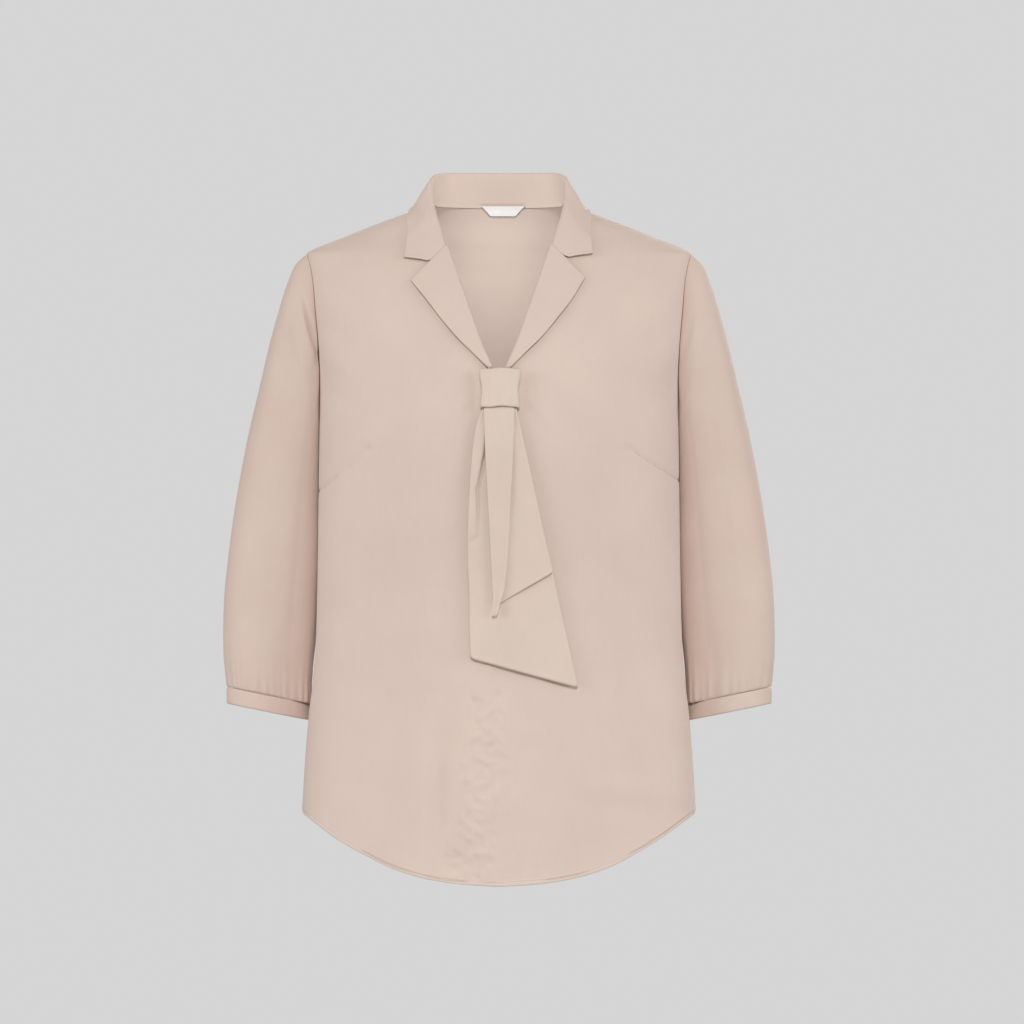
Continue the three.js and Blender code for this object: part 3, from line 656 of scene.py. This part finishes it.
def body_panel(side):
    if side == "front":
        places = stretches((1.5, 26), (5, 18), (10, 38))
        rows = stretches((12, 56), (14.5, 38), (19.5, 26), (25, 106))
    else:
        places = stretches((4, 22), (14, 62))
        rows = stretches((12, 84), (19.5, 60), (25, 60))
    places = with_edges(places, 28, far=(0.5, 1.2, 2.0))
    rows = with_edges(rows, 30, near=(0.4, 1.0, 1.8), far=(0.4, 0.9, 1.6, 2.6, 3.2, 3.8, 4.4, 5.4, 6.6))
    base, normal = panel_grid(side, rows, places)
    grids = []
    for hand in (1, -1):
        p = base * (hand, 1, 1)
        n = normal * (hand, 1, 1)
        x, z = p[..., 0], p[..., 2]
        height = edge_dip(base) + hem_relief(base)
        if side == "front":
            height = height + front_relief(x, z) * calm(base) + dart_relief(x, z)
        else:
            height = height + back_relief(x, z) * calm(base)
        p = round_corner(p + n * height[..., None], HEM_CORNER)
        p[np.abs(base[..., 0]) < 1e-6, 0] = 0
        grids.append((p, (side == "front") != (hand > 0), False))
    piece = cloth(side, grids, CLOTH)
    lines = []
    for hand in (1, -1):
        rise = np.linalg.norm(base - base[-1:], axis=-1)
        row = np.argmin(np.abs(rise - HEM_STITCH), axis=0)
        columns = np.arange(base.shape[1])
        lines.append((base[row, columns] + normal[row, columns] * 0.1) * (hand, 1, 1))
    return piece, lines


def calm(base):
    """Fades the folds out where the panel is sewn, so that its edges stay in place."""
    across = np.linalg.norm(base - base[:, -1:], axis=-1)
    down = np.linalg.norm(base - base[:1], axis=-1)
    return (1 - np.exp(-(across / 16) ** 2)) * (1 - np.exp(-(down / 22) ** 2))


def back_relief(x, z):
    """Height of the back's folds over its plain form."""
    height = np.zeros_like(x)
    drop = np.clip((-170 - z) / 420, 0, 1)
    for at, width, size in BACK_FOLDS:
        sway = 9 * np.sin(z / 100 + at)
        height += size * drop * bell(x - at - sway, width)
    away = np.abs(x)
    for start, size in BACK_PULLS:
        along = z - start - 0.45 * (SIDE_X - away)
        height += size * bell(along, 9) * bell(away - 152, 24)
    height += crinkles(x, z, 8, -470, (14, 22), 0.8)
    return height - 3 * bell(x + 30, 9) * np.exp(-(((z + 560) / 60) ** 4))


# Sleeves and cuffs

GATHERS = 34


def gather_set(seed):
    """Angle, width, height and reach of each gather over the cuff, uneven as sewn."""
    rng = random.Random(seed)
    made = []
    for k in range(GATHERS):
        at = (k + rng.uniform(-0.32, 0.32)) / GATHERS * 2 * math.pi
        made.append((at, rng.uniform(0.03, 0.055), rng.uniform(0.9, 2.0), rng.uniform(10, 34)))
    return made


# Long soft folds of a sleeve: angle round it, width, height, and where they start and end
SLEEVE_FOLDS = [
    (0.55, 0.16, 1.3, 0.06, 0.5),
    (1.25, 0.22, -1.5, 0.1, 0.7),
    (2.05, 0.2, 1.6, 0.12, 0.85),
    (4.1, 0.22, 1.5, 0.1, 0.8),
    (4.9, 0.2, -1.5, 0.15, 0.75),
    (5.6, 0.2, 1.3, 0.05, 0.6),
]


def sleeve_grid(hand, seed, around=240):
    t = with_edges(stretches((10, 76), (12, 26), (14, 44)), 30,
                   near=(0.4, 1.0, 1.8), far=(0.4, 0.9))[:, None]
    turn = (np.arange(around) / around * 2 * math.pi)[None, :]
    outer_x, outer_z, inner_x, inner_z, centre_y, front, back = (
        by_row([row[k] for row in SLEEVE])(t) for k in range(7))
    reach = np.cos(turn) / 2
    depth = np.where(np.sin(turn) > 0, front, back)
    base_x = (outer_x + inner_x) / 2 + (outer_x - inner_x) * reach
    base_z = (outer_z + inner_z) / 2 + (outer_z - inner_z) * reach
    # Its front stays nearly flat until close to the body, then turns in
    flat = 1 - SLEEVE_FLATNESS * np.sqrt(np.clip(-np.cos(turn), 0, 1)) * (np.sin(turn) > 0)
    base_y = centre_y - np.sign(np.sin(turn)) * np.abs(np.sin(turn)) ** flat * depth
    p = points(base_x, base_y, base_z)
    side_turn = np.minimum(turn, 2 * math.pi - turn)
    hole_z = mix(SHOULDER_Z, UNDERARM_Z, (1 - np.cos(side_turn)) / 2)
    cut = np.where(turn < math.pi, -ARMHOLE_FRONT, ARMHOLE_BACK) * np.sin(side_turn)
    hole_y = SIDE_Y(hole_z) + cut
    hole = points(half_width_at(hole_y, hole_z), hole_y, hole_z)
    kept = np.maximum(0, 1 - t / ARMHOLE_BLEND) ** 2
    p = p + (hole - p[:1]) * kept[..., None]
    # Creases and gathers, along the sleeve's own normal
    along_ring = np.roll(p, -1, axis=1) - np.roll(p, 1, axis=1)
    down = np.gradient(p, axis=0)
    normal = unit(np.cross(along_ring, down))
    outward = p - p.mean(axis=1, keepdims=True)
    normal *= np.sign((normal * outward).sum(axis=-1, keepdims=True))
    rise = np.linalg.norm(np.diff(p, axis=0), axis=-1)
    to_cuff = np.concatenate([np.cumsum(rise[::-1], axis=0)[::-1], np.zeros((1, around))], axis=0)
    to_hole = np.concatenate([np.zeros((1, around)), np.cumsum(rise, axis=0)], axis=0)
    height = np.zeros_like(p[..., 0])
    for at, width, size, length in gather_set(seed):
        gap = np.abs((turn - at + math.pi) % (2 * math.pi) - math.pi)
        spread = width * (1 + to_cuff / 60)
        profile = np.exp(-to_cuff / length) * (1 - 0.65 * np.exp(-to_cuff / 2.5))
        height += size * profile * bell(gap, spread)
    height -= 0.6 * np.exp(-to_cuff / 20)
    for at, width, size, first, last in SLEEVE_FOLDS:
        gap = np.abs((turn - at + math.pi) % (2 * math.pi) - math.pi)
        place = t / (len(SLEEVE) - 1)
        span = np.clip((place - first) / 0.12, 0, 1) * np.clip((last - place) / 0.12, 0, 1)
        height += size * span * bell(gap - 0.25 * (place - first), width)
    height -= 0.5 * np.exp(-(to_hole / 1.6) ** 2) + 0.4 * np.exp(-(to_cuff / 1.2) ** 2)
    off = (p[..., 0] - straight(PULLS[hand][::-1], p[..., 2])) * 0.94
    top, bottom = PULLS[hand][0][0], PULLS[hand][-1][0]
    span = np.clip((top + 6 - p[..., 2]) / 50, 0, 1) * np.clip((p[..., 2] - bottom + 16) / 16, 0, 1)
    in_front = (turn > 0) & (turn < math.pi)
    height += PULL_DEPTH[hand] * (0.45 * bell(off - 4.5, 3) - bell(off, 1.7)) * span * in_front
    p = p + normal * height[..., None]
    away = half_width_at(p[..., 1], p[..., 2]) + SLEEVE_CLEARANCE
    free = np.minimum(1, to_hole / 3)
    p[..., 0] = np.where(p[..., 0] < away, mix(p[..., 0], away, free), p[..., 0])
    return p * (hand, 1, 1)


def cuff_grid(hand, rows=14, around=160, height=17, gap=0.15, radius_y=40.6):
    outer_x, outer_z, inner_x, inner_z, centre_y = SLEEVE[-1][:5]
    across = np.array([outer_x - inner_x, 0, outer_z - inner_z], float)
    radius = np.linalg.norm(across) / 2
    across /= 2 * radius
    down = np.array([0, 0, -1])
    share = np.linspace(0, 1, rows)[:, None]
    turn = (np.arange(around) / around * 2 * math.pi)[None, :]
    drop = gap + share * (height - gap)
    edge = np.minimum(drop - gap, height - drop)
    swell = 0.9 - 0.7 * np.exp(-edge / 1.1)
    swell = swell + 0.25 * np.sin(7 * turn + 1.3 * hand) * np.sin(share * math.pi)
    centre = np.array([(outer_x + inner_x) / 2, centre_y, (outer_z + inner_z) / 2], float)
    p = (centre + across * ((radius + swell) * np.cos(turn))[..., None] + down * drop[..., None]
         - np.array([0, 1, 0]) * ((radius_y + swell) * np.sin(turn))[..., None])
    return p * (hand, 1, 1)


# Collar, lapels, tie and label

COLLAR_ROWS = np.array(COLLAR + [
    np.concatenate([over_front(a, b, COLLAR_LIFT[0]), over_front(c, d, COLLAR_LIFT[1]),
                    over_front(e, f, COLLAR_LIFT[2])]).tolist()
    for a, b, c, d, e, f in COLLAR_FRONT])


def stand_foot(x):
    """Where the stand's lower edge lies inside the back's neck edge."""
    rise = np.arcsin(min(1, x / NECK_EDGE[1][1])) / QUARTER
    z = mix(BACK_NECK_Z, NECK_POINT_Z, rise**2) - STAND_OVERLAP
    out = unit(gradient(points(x, depth_at(x, z, "back"), z)))
    over_x, over_z = x + out[0] * STAND_INSIDE, z + out[2] * STAND_INSIDE
    return points(over_x, depth_at(over_x, over_z, "back"), over_z) - out * STAND_INSIDE


def collar_section(seam, fold, edge):
    """Points up the stand, round the fold and straight down the fall to its edge."""
    out = unit((edge - fold) * (1, 1, 0))
    radius = FOLD_WIDTH / 2
    room = min(1, (fold[2] - seam[2]) / FOLD_WIDTH)
    top = fold - np.array([0, 0, radius * room])
    centre = top + out * radius
    across, drop = np.dot(edge - centre, out), edge[2] - centre[2]
    leave = math.atan2(drop, across) + math.acos(min(1, radius / math.hypot(across, drop)))
    line = [mix(seam, top, s) for s in (0, 1 / 3, 2 / 3)]
    for share in (0, 1 / 3, 2 / 3, 1):
        turn = share * (math.pi - leave)
        p = centre - out * math.cos(turn) * radius + np.array([0, 0, math.sin(turn) * radius * room])
        line.append(lift_off(p, FALL_LIFT) if share > 0 else p)
    start = line[-1]
    for down in (0.15, 0.35, 0.56, 0.78, 1):
        p = mix(start, edge, down) + np.array([0, 0, FALL_BULGE * math.sin(math.pi * down)])
        line.append(lift_off(p, mix(FALL_LIFT, FALL_EDGE_LIFT, down**2)))
    return line


def collar_grid(hand, stations=116):
    rows = resample(COLLAR_ROWS.reshape(1, -1, 9), stations)[0]
    share = np.linspace(0, 1, stations)
    end = COLLAR_END[hand]
    lines = []
    for k, row in enumerate(rows):
        inside = np.clip((0.56 - share[k]) / 0.1, 0, 1)
        seam = mix(row[:3], stand_foot(row[0]), inside)
        line = collar_section(seam, row[3:6], row[6:])
        near = max(0, (share[k] - COLLAR_END_FROM) / (1 - COLLAR_END_FROM)) ** 2
        if near > 0:
            for m, p in enumerate(line):
                x = p[0] * mix(1, end[-1][0] / row[6], near * max(0, m - 6) / 5)
                lift = mix(COLLAR_LIFT[0], 1, m / 3) if m <= 3 else straight(COLLAR_END_LIFT, x)
                line[m] = mix(p, over_front(x, straight(end, x), lift), near)
        lines.append(line)
    places = stretches((0.75, 20), (3, 14), (6, 20), (10.6, 26), (11, 10))
    p = resample(np.array(lines), places)
    for _ in range(COLLAR_SMOOTHINGS):
        before = np.concatenate([p[1:2] * (-1, 1, 1), p[:-2]])
        p[:-1] = (before + 2 * p[:-1] + p[1:]) / 4
    # The stand's second seam line, the turned edge of the fall, and a slight wave
    rise = np.linalg.norm(p - p[:, :1], axis=-1)
    on_stand = (places < 2.5)[None, :] & (p[..., 1] > 8)
    p[..., 1] += 0.4 * bell(rise - 4, 0.5) * on_stand
    to_edge = np.linalg.norm(p - p[:, -1:], axis=-1)
    to_end = np.linalg.norm(p - p[-1:], axis=-1)
    free = np.clip((p[..., 0] - 66) / 3, 0, 1)
    hem = turned_edge(to_edge) + turned_edge(to_end, 0.3, 0.5) * free
    wave = 0.6 * np.sin(share * (21 + 3 * hand))[:, None] * np.exp(-to_edge / 14)
    fall = np.clip(places - 6.5, 0, 1)[None, :]
    p = p + unit(gradient(p)) * ((hem + wave * np.minimum(1, to_end / 15)) * fall)[..., None]
    p[0, :, 0] = 0
    return p * (hand, 1, 1)


def lapel_grid(hand, stations=110, around=56):
    share = np.linspace(0, 1, stations)
    fold_z = mix(LAPEL_TOP_Z[hand], LAPEL_END_Z, share)[:, None]
    fold_x = ROLL_X(fold_z)
    table = [LAPEL_TIP[hand]] + LAPEL_EDGE[1:]
    edge = resample(np.array([[(x, z, 0) for x, z in table]], float), stations)[0]
    width = np.hypot(edge[:, :1] - fold_x, edge[:, 1:2] - fold_z)
    folded = np.minimum(1, width / LAPEL_FULL_FOLD)
    distance, rest, lift = (np.array([row[k] for row in LAPEL_SECTION])[None, :] for k in range(3))
    reach = mix(distance * folded / width, 1, rest)
    x = mix(fold_x, edge[:, :1], reach)
    z = mix(fold_z, edge[:, 1:2], reach)
    p = resample(over_front(x, z, lift + 0 * x), around)
    to_edge = np.linalg.norm(p - p[:, -1:], axis=-1)
    to_top = np.linalg.norm(p - p[:1], axis=-1)
    rise = 1.2 * np.exp(-to_edge / 9) * np.minimum(1, to_top / 8)
    wave = 0.5 * np.sin(share * 17 + 2 * hand)[:, None] * np.exp(-to_edge / 8)
    rise += turned_edge(to_edge) + wave * np.minimum(1, to_top / 20)
    # Where the collar's end is sewn on, the lapel sinks a little to the seam
    sewn = np.clip((70 - p[..., 0]) / 2, 0, 1)
    rise -= 0.1 * np.exp(-to_top / 0.9) * sewn
    p = p + unit(gradient(p)) * rise[..., None]
    p[..., 2] += 0.35 * np.exp(-to_top / 3) * sewn
    return p * (hand, 1, 1)


LOOP = dict(top=-159.6, bottom=-197.4, half_top=20.5, half_bottom=19.2, middle=1, height=11.2, foot=3)
LOOP_CREASE_Z = -178
LOOP_SECTION = [(-1, 0), (-0.985, 0.6), (-0.9, 0.9), (-0.5, 0.98), (0, 1),
                (0.5, 0.98), (0.9, 0.9), (0.985, 0.6), (1, 0)]


def loop_grid(rows=60, around=90):
    share = np.linspace(0, 1, rows)[:, None]
    z = mix(LOOP["top"], LOOP["bottom"], share)
    half = mix(LOOP["half_top"], LOOP["half_bottom"], share) - 0.9 * np.sin(share * math.pi)
    across = np.array([row[0] for row in LOOP_SECTION])[None, :]
    rise = np.array([row[1] for row in LOOP_SECTION])[None, :]
    x = LOOP["middle"] + across * half + 0.5 * np.sin(share * 9) * across
    z = z + 0.6 * np.sin(across * 4 + 1) + 0 * x
    p = resample(over_front(x, z, mix(LOOP["foot"], LOOP["height"], rise) + 0 * x), around)
    edge = np.minimum(share, 1 - share) * (LOOP["top"] - LOOP["bottom"])
    lift = 0.7 * bell(edge - 1.6, 1.2) - 1.2 * np.exp(-edge / 0.8)
    side = p[..., 0] - LOOP["middle"]
    outer = np.abs(side) + 1.5 * share
    lift = lift + 0.5 * bell(outer - 15.5, 1.1) - 0.5 * bell(outer - 12.5, 1.3)
    above = p[..., 2] - LOOP_CREASE_Z
    crease = 0.8 * bell(side + 4 + 0.4 * above, 3) - 0.7 * bell(side - 7 - 0.25 * above, 3)
    lift = lift + crease * np.sin(share * math.pi)
    p[..., 1] -= lift
    return p


TIE_ENDS = {
    "tie_end_long": (3.2, [
        (-163, -14, -163, 14), (-194, -15, -194, 15), (-200, -17.9, -200, 17.9), (-224, -24.6, -228, 24.6),
        (-270, -29.2, -275, 35), (-312, -31, -318, 44.4), (-348, -31.4, -361, 53.6),
        (-381, -29.8, -396, 61), (-414, -29.5, -436, 69.8), (-446, -28.4, -475.4, 78.5)]),
    "tie_end_middle": (5.2, [
        (-163, -13, -163, 15.5), (-197, -12, -197, 18), (-230, -10.5, -228, 24.8),
        (-275, -8.5, -266, 33.2), (-325, -6.5, -306, 41.8), (-362, -5, -334, 48),
        (-394.5, -4, -360, 53.8)]),
    "tie_end_narrow": (7.6, [
        (-163, -15, -163, 15.5), (-195.7, -15.4, -195.7, 16), (-240, -14.2, -238, 15),
        (-289, -11.6, -285, 12.4), (-325, -9.7, -320, 10.9), (-360, -7.9, -352, 8.8),
        (-385, -6.6, -377, 6), (-398, -7.2, -391, 2), (-405, -7.8, -404, -2)]),
}


# How far the lower end of each stands off, as it hangs free
TIE_HANG = {"tie_end_long": 2.6, "tie_end_middle": 2.4, "tie_end_narrow": 1.8}


def rounded(u, v, width, height, radius):
    """Moves shares across and down a piece so that its lower corners are round."""
    near_side = np.minimum(u, 1 - u) * width
    near_end = (1 - v) * height
    a = np.clip(1 - near_side / radius, 0, 1)
    b = np.clip(1 - near_end / radius, 0, 1)
    both = np.hypot(a, b)
    keep = np.where((a > 0) & (b > 0), np.maximum(a, b) / np.maximum(both, 1e-9), 1)
    side = np.sign(u - 0.5)
    u = np.where(keep < 1, 0.5 + side * (0.5 - radius * (1 - a * keep) / width), u)
    v = np.where(keep < 1, 1 - radius * (1 - b * keep) / height, v)
    return u, v


def tie_grid(name, lift, rows, count=170, around=72):
    table = np.array(rows, float)
    length = table[0, 0] - table[-1, 0]
    v = np.linspace(0, 1, count)[:, None]
    u = np.linspace(0, 1, around)[None, :]
    width = abs(table[-1, 3] - table[-1, 1])
    u, v = rounded(u + 0 * v, v + 0 * u, width, length, min(5, width / 2.2))
    index = Curve([(table[0, 0] - row[0], k) for k, row in enumerate(table)])(v * length)
    left_z, left_x, right_z, right_x = (Curve(list(enumerate(table[:, k])))(index) for k in range(4))
    x = mix(left_x, right_x, u)
    z = mix(left_z, right_z, u)
    span = np.hypot(right_x - left_x, right_z - left_z)
    side = np.minimum(u, 1 - u) * span
    end = (1 - v) * length
    hang = TIE_HANG[name] * v ** 1.5
    height = lift + hang + 0.35 * bell(side - 1.4, 1) - 0.75 * np.exp(-side / 0.7)
    height += 0.4 * bell(end - 1.5, 1) - 0.75 * np.exp(-end / 0.7)
    height += tie_folds(name, x, z, u, v)
    return over_front(x, z, height)


# z and x of the fold that the long end's turned left side makes
TUCK_LINE = [(-345, -21), (-312, -22.8), (-290, -22.7), (-278, -23.4), (-270, -21),
             (-242, -14.7), (-225, -13), (-195, -11)]


def tie_folds(name, x, z, u, v):
    """Folds of one tie end, in millimetres over it."""
    if name == "tie_end_narrow":
        ridge = 0.9 * np.sin(np.minimum(1, v * 1.2) * math.pi) * bell(u - 0.62, 0.2)
        turned = straight([(-400, -3.2), (-358, 6.8)], z)
        return ridge + 0.9 / (1 + np.exp(-np.clip((x - turned) * 3, -30, 30))) * (z < -352)
    if name == "tie_end_middle":
        trough = -0.8 * bell(u - 0.35 - 0.2 * v, 0.12) * (1 - v)
        return trough + 0.5 * bell(u - 0.7, 0.12) * np.sin(v * math.pi)
    # The long end's left part is turned under the rest down to its first third
    line = straight(TUCK_LINE, z)
    strength = np.clip((z + 330) / 35, 0, 1) * np.clip((-196 - z) / 12, 0, 1)
    step = 1 / (1 + np.exp(np.clip((x - line) * 2.4, -30, 30)))
    groove = -3 * bell(x - line - 1.4, 1.3) * (0.6 + 0.4 * np.clip((z + 290) / 40, 0, 1))
    crease = -0.9 * bell(z + 328 - 0.7 * (x + 25), 2.5) * bell(x + 25, 5)
    soft = 1.3 * bell(x - 14 + 0.16 * (z + 420), 8) * bell(z + 405, 40)
    soft -= 1.1 * bell(x + 4 - 0.2 * (z + 440), 7) * bell(z + 425, 26)
    return (2.1 * step + groove) * strength + crease + soft


def label_grid(middle=4, top=7.9, bottom=-2.8, half_top=22.6, half_bottom=12.6, inside=2.6):
    down = np.linspace(0, 1, 12)[:, None]
    across = np.linspace(-1, 1, 40)[None, :]
    z = mix(top, bottom, down) + 0 * across
    x = middle + across * mix(half_top, half_bottom, down)
    p = points(x, depth_at(x, z, "back"), z)
    return p - unit(gradient(p)) * inside


STITCH_SIDES = 6


def stitch_line(name, lines, length=2.1, pitch=3.1, radius=0.28, thread=THREAD):
    """A row of thread stitches along each line of points, as one piece."""
    verts, faces = [], []
    for line in lines:
        steps = np.linalg.norm(np.diff(line, axis=0), axis=-1)
        run = np.concatenate([[0], np.cumsum(steps)])
        for start in np.arange(pitch, run[-1] - pitch, pitch):
            ends = [np.array([np.interp(at, run, line[:, k]) for k in range(3)])
                    for at in (start, start + length)]
            along = unit(ends[1] - ends[0])
            side = unit(np.cross(along, (0, 0, 1)))
            up = np.cross(side, along)
            first = len(verts)
            for share, size in ((0, 0.25), (0.2, 1), (0.8, 1), (1, 0.25)):
                middle = mix(ends[0], ends[1], share)
                for turn in range(STITCH_SIDES):
                    angle = turn / STITCH_SIDES * 2 * math.pi
                    away = side * math.cos(angle) + up * math.sin(angle)
                    verts.append(middle + radius * size * away)
            for ring in range(first, first + 3 * STITCH_SIDES, STITCH_SIDES):
                for turn in range(STITCH_SIDES):
                    a, b = ring + turn, ring + (turn + 1) % STITCH_SIDES
                    faces.append((a, b, b + STITCH_SIDES, a + STITCH_SIDES))
            faces.append(tuple(first + turn for turn in reversed(range(STITCH_SIDES))))
            faces.append(tuple(first + 3 * STITCH_SIDES + turn for turn in range(STITCH_SIDES)))
    mesh = bpy.data.meshes.new(name)
    mesh.from_pydata((np.array(verts) * MM).tolist(), [], faces)
    mesh.shade_smooth()
    mesh.materials.append(thread)
    piece = bpy.data.objects.new(name, mesh)
    bpy.context.scene.collection.objects.link(piece)
    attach(piece, "root")
    return piece


# Making the pieces

front, front_hem = body_panel("front")
finish_piece(front, BODY_CLOTH, "front")
back, back_hem = body_panel("back")
finish_piece(back, BODY_CLOTH, "back")
hem_stitches = stitch_line("hem_stitches", front_hem + back_hem)
darts = []
for side in (1, -1):
    across = np.linspace(DART_START_X, DART_START_X - DART_LENGTH + 1, 60)
    height = dart_line(side * across, (DART_START_X - across) / DART_LENGTH)
    darts.append(over_front(across * side, height, dart_relief(across * side, height) + 0.5))
dart_threads = stitch_line("dart_threads", darts, length=2.6, pitch=4.2, radius=0.3)

for word, hand, seed in (("left", 1, 11), ("right", -1, 29)):
    sleeve = cloth(f"sleeve_{word}", [(sleeve_grid(hand, seed), hand > 0, True)], CLOTH)
    finish_piece(sleeve, SLEEVE_CLOTH, f"sleeve_{word}")
    cuff = cloth(f"cuff_{word}", [(cuff_grid(hand), hand > 0, True)], CUFF_CLOTH)
    finish_piece(cuff, SLEEVE_CLOTH, f"cuff_{word}")

collar = cloth("collar", [(collar_grid(1), False, False), (collar_grid(-1), True, False)], CLOTH)
finish_piece(collar, BODY_CLOTH, "collar")

for word, hand in (("left", 1), ("right", -1)):
    lapel = cloth(f"lapel_{word}", [(lapel_grid(hand), hand < 0, False)], LAPEL_CLOTH)
    finish_piece(lapel, BODY_CLOTH, f"lapel_{word}")

loop = cloth("tie_loop", [(loop_grid(), False, False)], LOOP_CLOTH)
finish_piece(loop, TIE_CLOTH, "tie_loop")
for name, (lift, rows) in TIE_ENDS.items():
    end = cloth(name, [(tie_grid(name, lift, rows), False, False)], TIE_END_CLOTH)
    finish_piece(end, TIE_CLOTH, name)

label_points = label_grid()
label = cloth("neck_label", [(label_points, False, False)], LABEL_TAPE)
finish_piece(label, LABEL_CLOTH, "neck_label")
# Stitches along the label's sides and foot. They sew it on, and their dark thread is painted shade for the
# shadow along its edges
border = np.concatenate([label_points[:, 0], label_points[-1, 1:], label_points[-2::-1, -1]])
label_shade_stitches = stitch_line("label_shade_stitches", [border],
                         length=1.5, pitch=1.5, radius=0.36, thread=LABEL_SHADE_THREAD)


# Floor, light and camera, in metres

FLOOR_RADIUS = 2.2
FLOOR_SIDES = 96
FLOOR_Z = -0.98
CAMERA_DISTANCE = 24
VIEW_WIDTH = 1.024
VIEW_MIDDLE = (0.013, -0.3)


def lamp(name, kind, place, energy, target=(0, 0, -0.3), **more):
    """A light that faces the target and doesn't show itself."""
    light = bpy.data.lights.new(name, kind)
    light.energy = energy
    for key, value in more.items():
        setattr(light, key, value)
    made = bpy.data.objects.new(name, light)
    made.location = place
    made.visible_camera = False
    aim = Vector(target) - Vector(place)
    made.rotation_euler = aim.to_track_quat("-Z", "Y").to_euler()
    bpy.context.scene.collection.objects.link(made)


def studio():
    """Plain grey all round, lit softly and evenly from the front, as in a catalogue."""
    bpy.context.scene.view_settings.view_transform = "Standard"
    world = bpy.data.worlds.new("studio")
    bpy.context.scene.world = world
    world.use_nodes = True
    nodes, links = world.node_tree.nodes, world.node_tree.links
    seen = nodes["Background"]
    seen.inputs["Color"].default_value = BACKDROP
    ambient = nodes.new("ShaderNodeBackground")
    ambient.inputs["Color"].default_value = srgb(222, 211, 204)
    ambient.inputs["Strength"].default_value = AMBIENT
    ray = nodes.new("ShaderNodeLightPath")
    either = nodes.new("ShaderNodeMixShader")
    links.new(ray.outputs["Is Camera Ray"], either.inputs[0])
    links.new(ambient.outputs[0], either.inputs[1])
    links.new(seen.outputs[0], either.inputs[2])
    links.new(either.outputs[0], nodes["World Output"].inputs["Surface"])
    turns = [k / FLOOR_SIDES * 2 * math.pi for k in range(FLOOR_SIDES)]
    ring = [(FLOOR_RADIUS * math.cos(turn), FLOOR_RADIUS * math.sin(turn), 0) for turn in turns]
    floor_mesh = bpy.data.meshes.new("floor")
    floor_mesh.from_pydata(ring, [], [list(range(FLOOR_SIDES))])
    floor = bpy.data.objects.new("floor", floor_mesh)
    floor.location = (0, 0, FLOOR_Z)
    bpy.context.scene.collection.objects.link(floor)
    paint = bpy.data.materials.new("floor")
    paint.use_nodes = True
    surface = paint.node_tree.nodes["Principled BSDF"]
    surface.inputs["Base Color"].default_value = BACKDROP
    surface.inputs["Roughness"].default_value = 0.9
    floor_mesh.materials.append(paint)
    lamp("front", "SUN", (0, -8, 3.4), FRONT_LIGHT, angle=math.radians(9))
    for side in (-1, 1):
        lamp("side", "SUN", (8 * side, -2.8, 0.9), SIDE_LIGHT, angle=math.radians(30))
    lamp("behind", "SUN", (1.5, 8, 2.5), BACK_LIGHT, angle=math.radians(40))
    lamp("inside", "AREA", (0, -0.012, -0.076), INSIDE_LIGHT, (0, 0.1, -0.04), size=0.1)


def camera():
    """Level and far off, so that 1 mm of the blouse's outline is 1 pixel of 1024."""
    data = bpy.data.cameras.new("camera")
    data.sensor_width = 36
    data.lens = data.sensor_width * CAMERA_DISTANCE / VIEW_WIDTH
    data.clip_end = 100
    eye = bpy.data.objects.new("camera", data)
    eye.location = (VIEW_MIDDLE[0], -CAMERA_DISTANCE, VIEW_MIDDLE[1])
    eye.rotation_euler = (math.pi / 2, 0, 0)
    bpy.context.scene.collection.objects.link(eye)
    bpy.context.scene.camera = eye


studio()
camera()
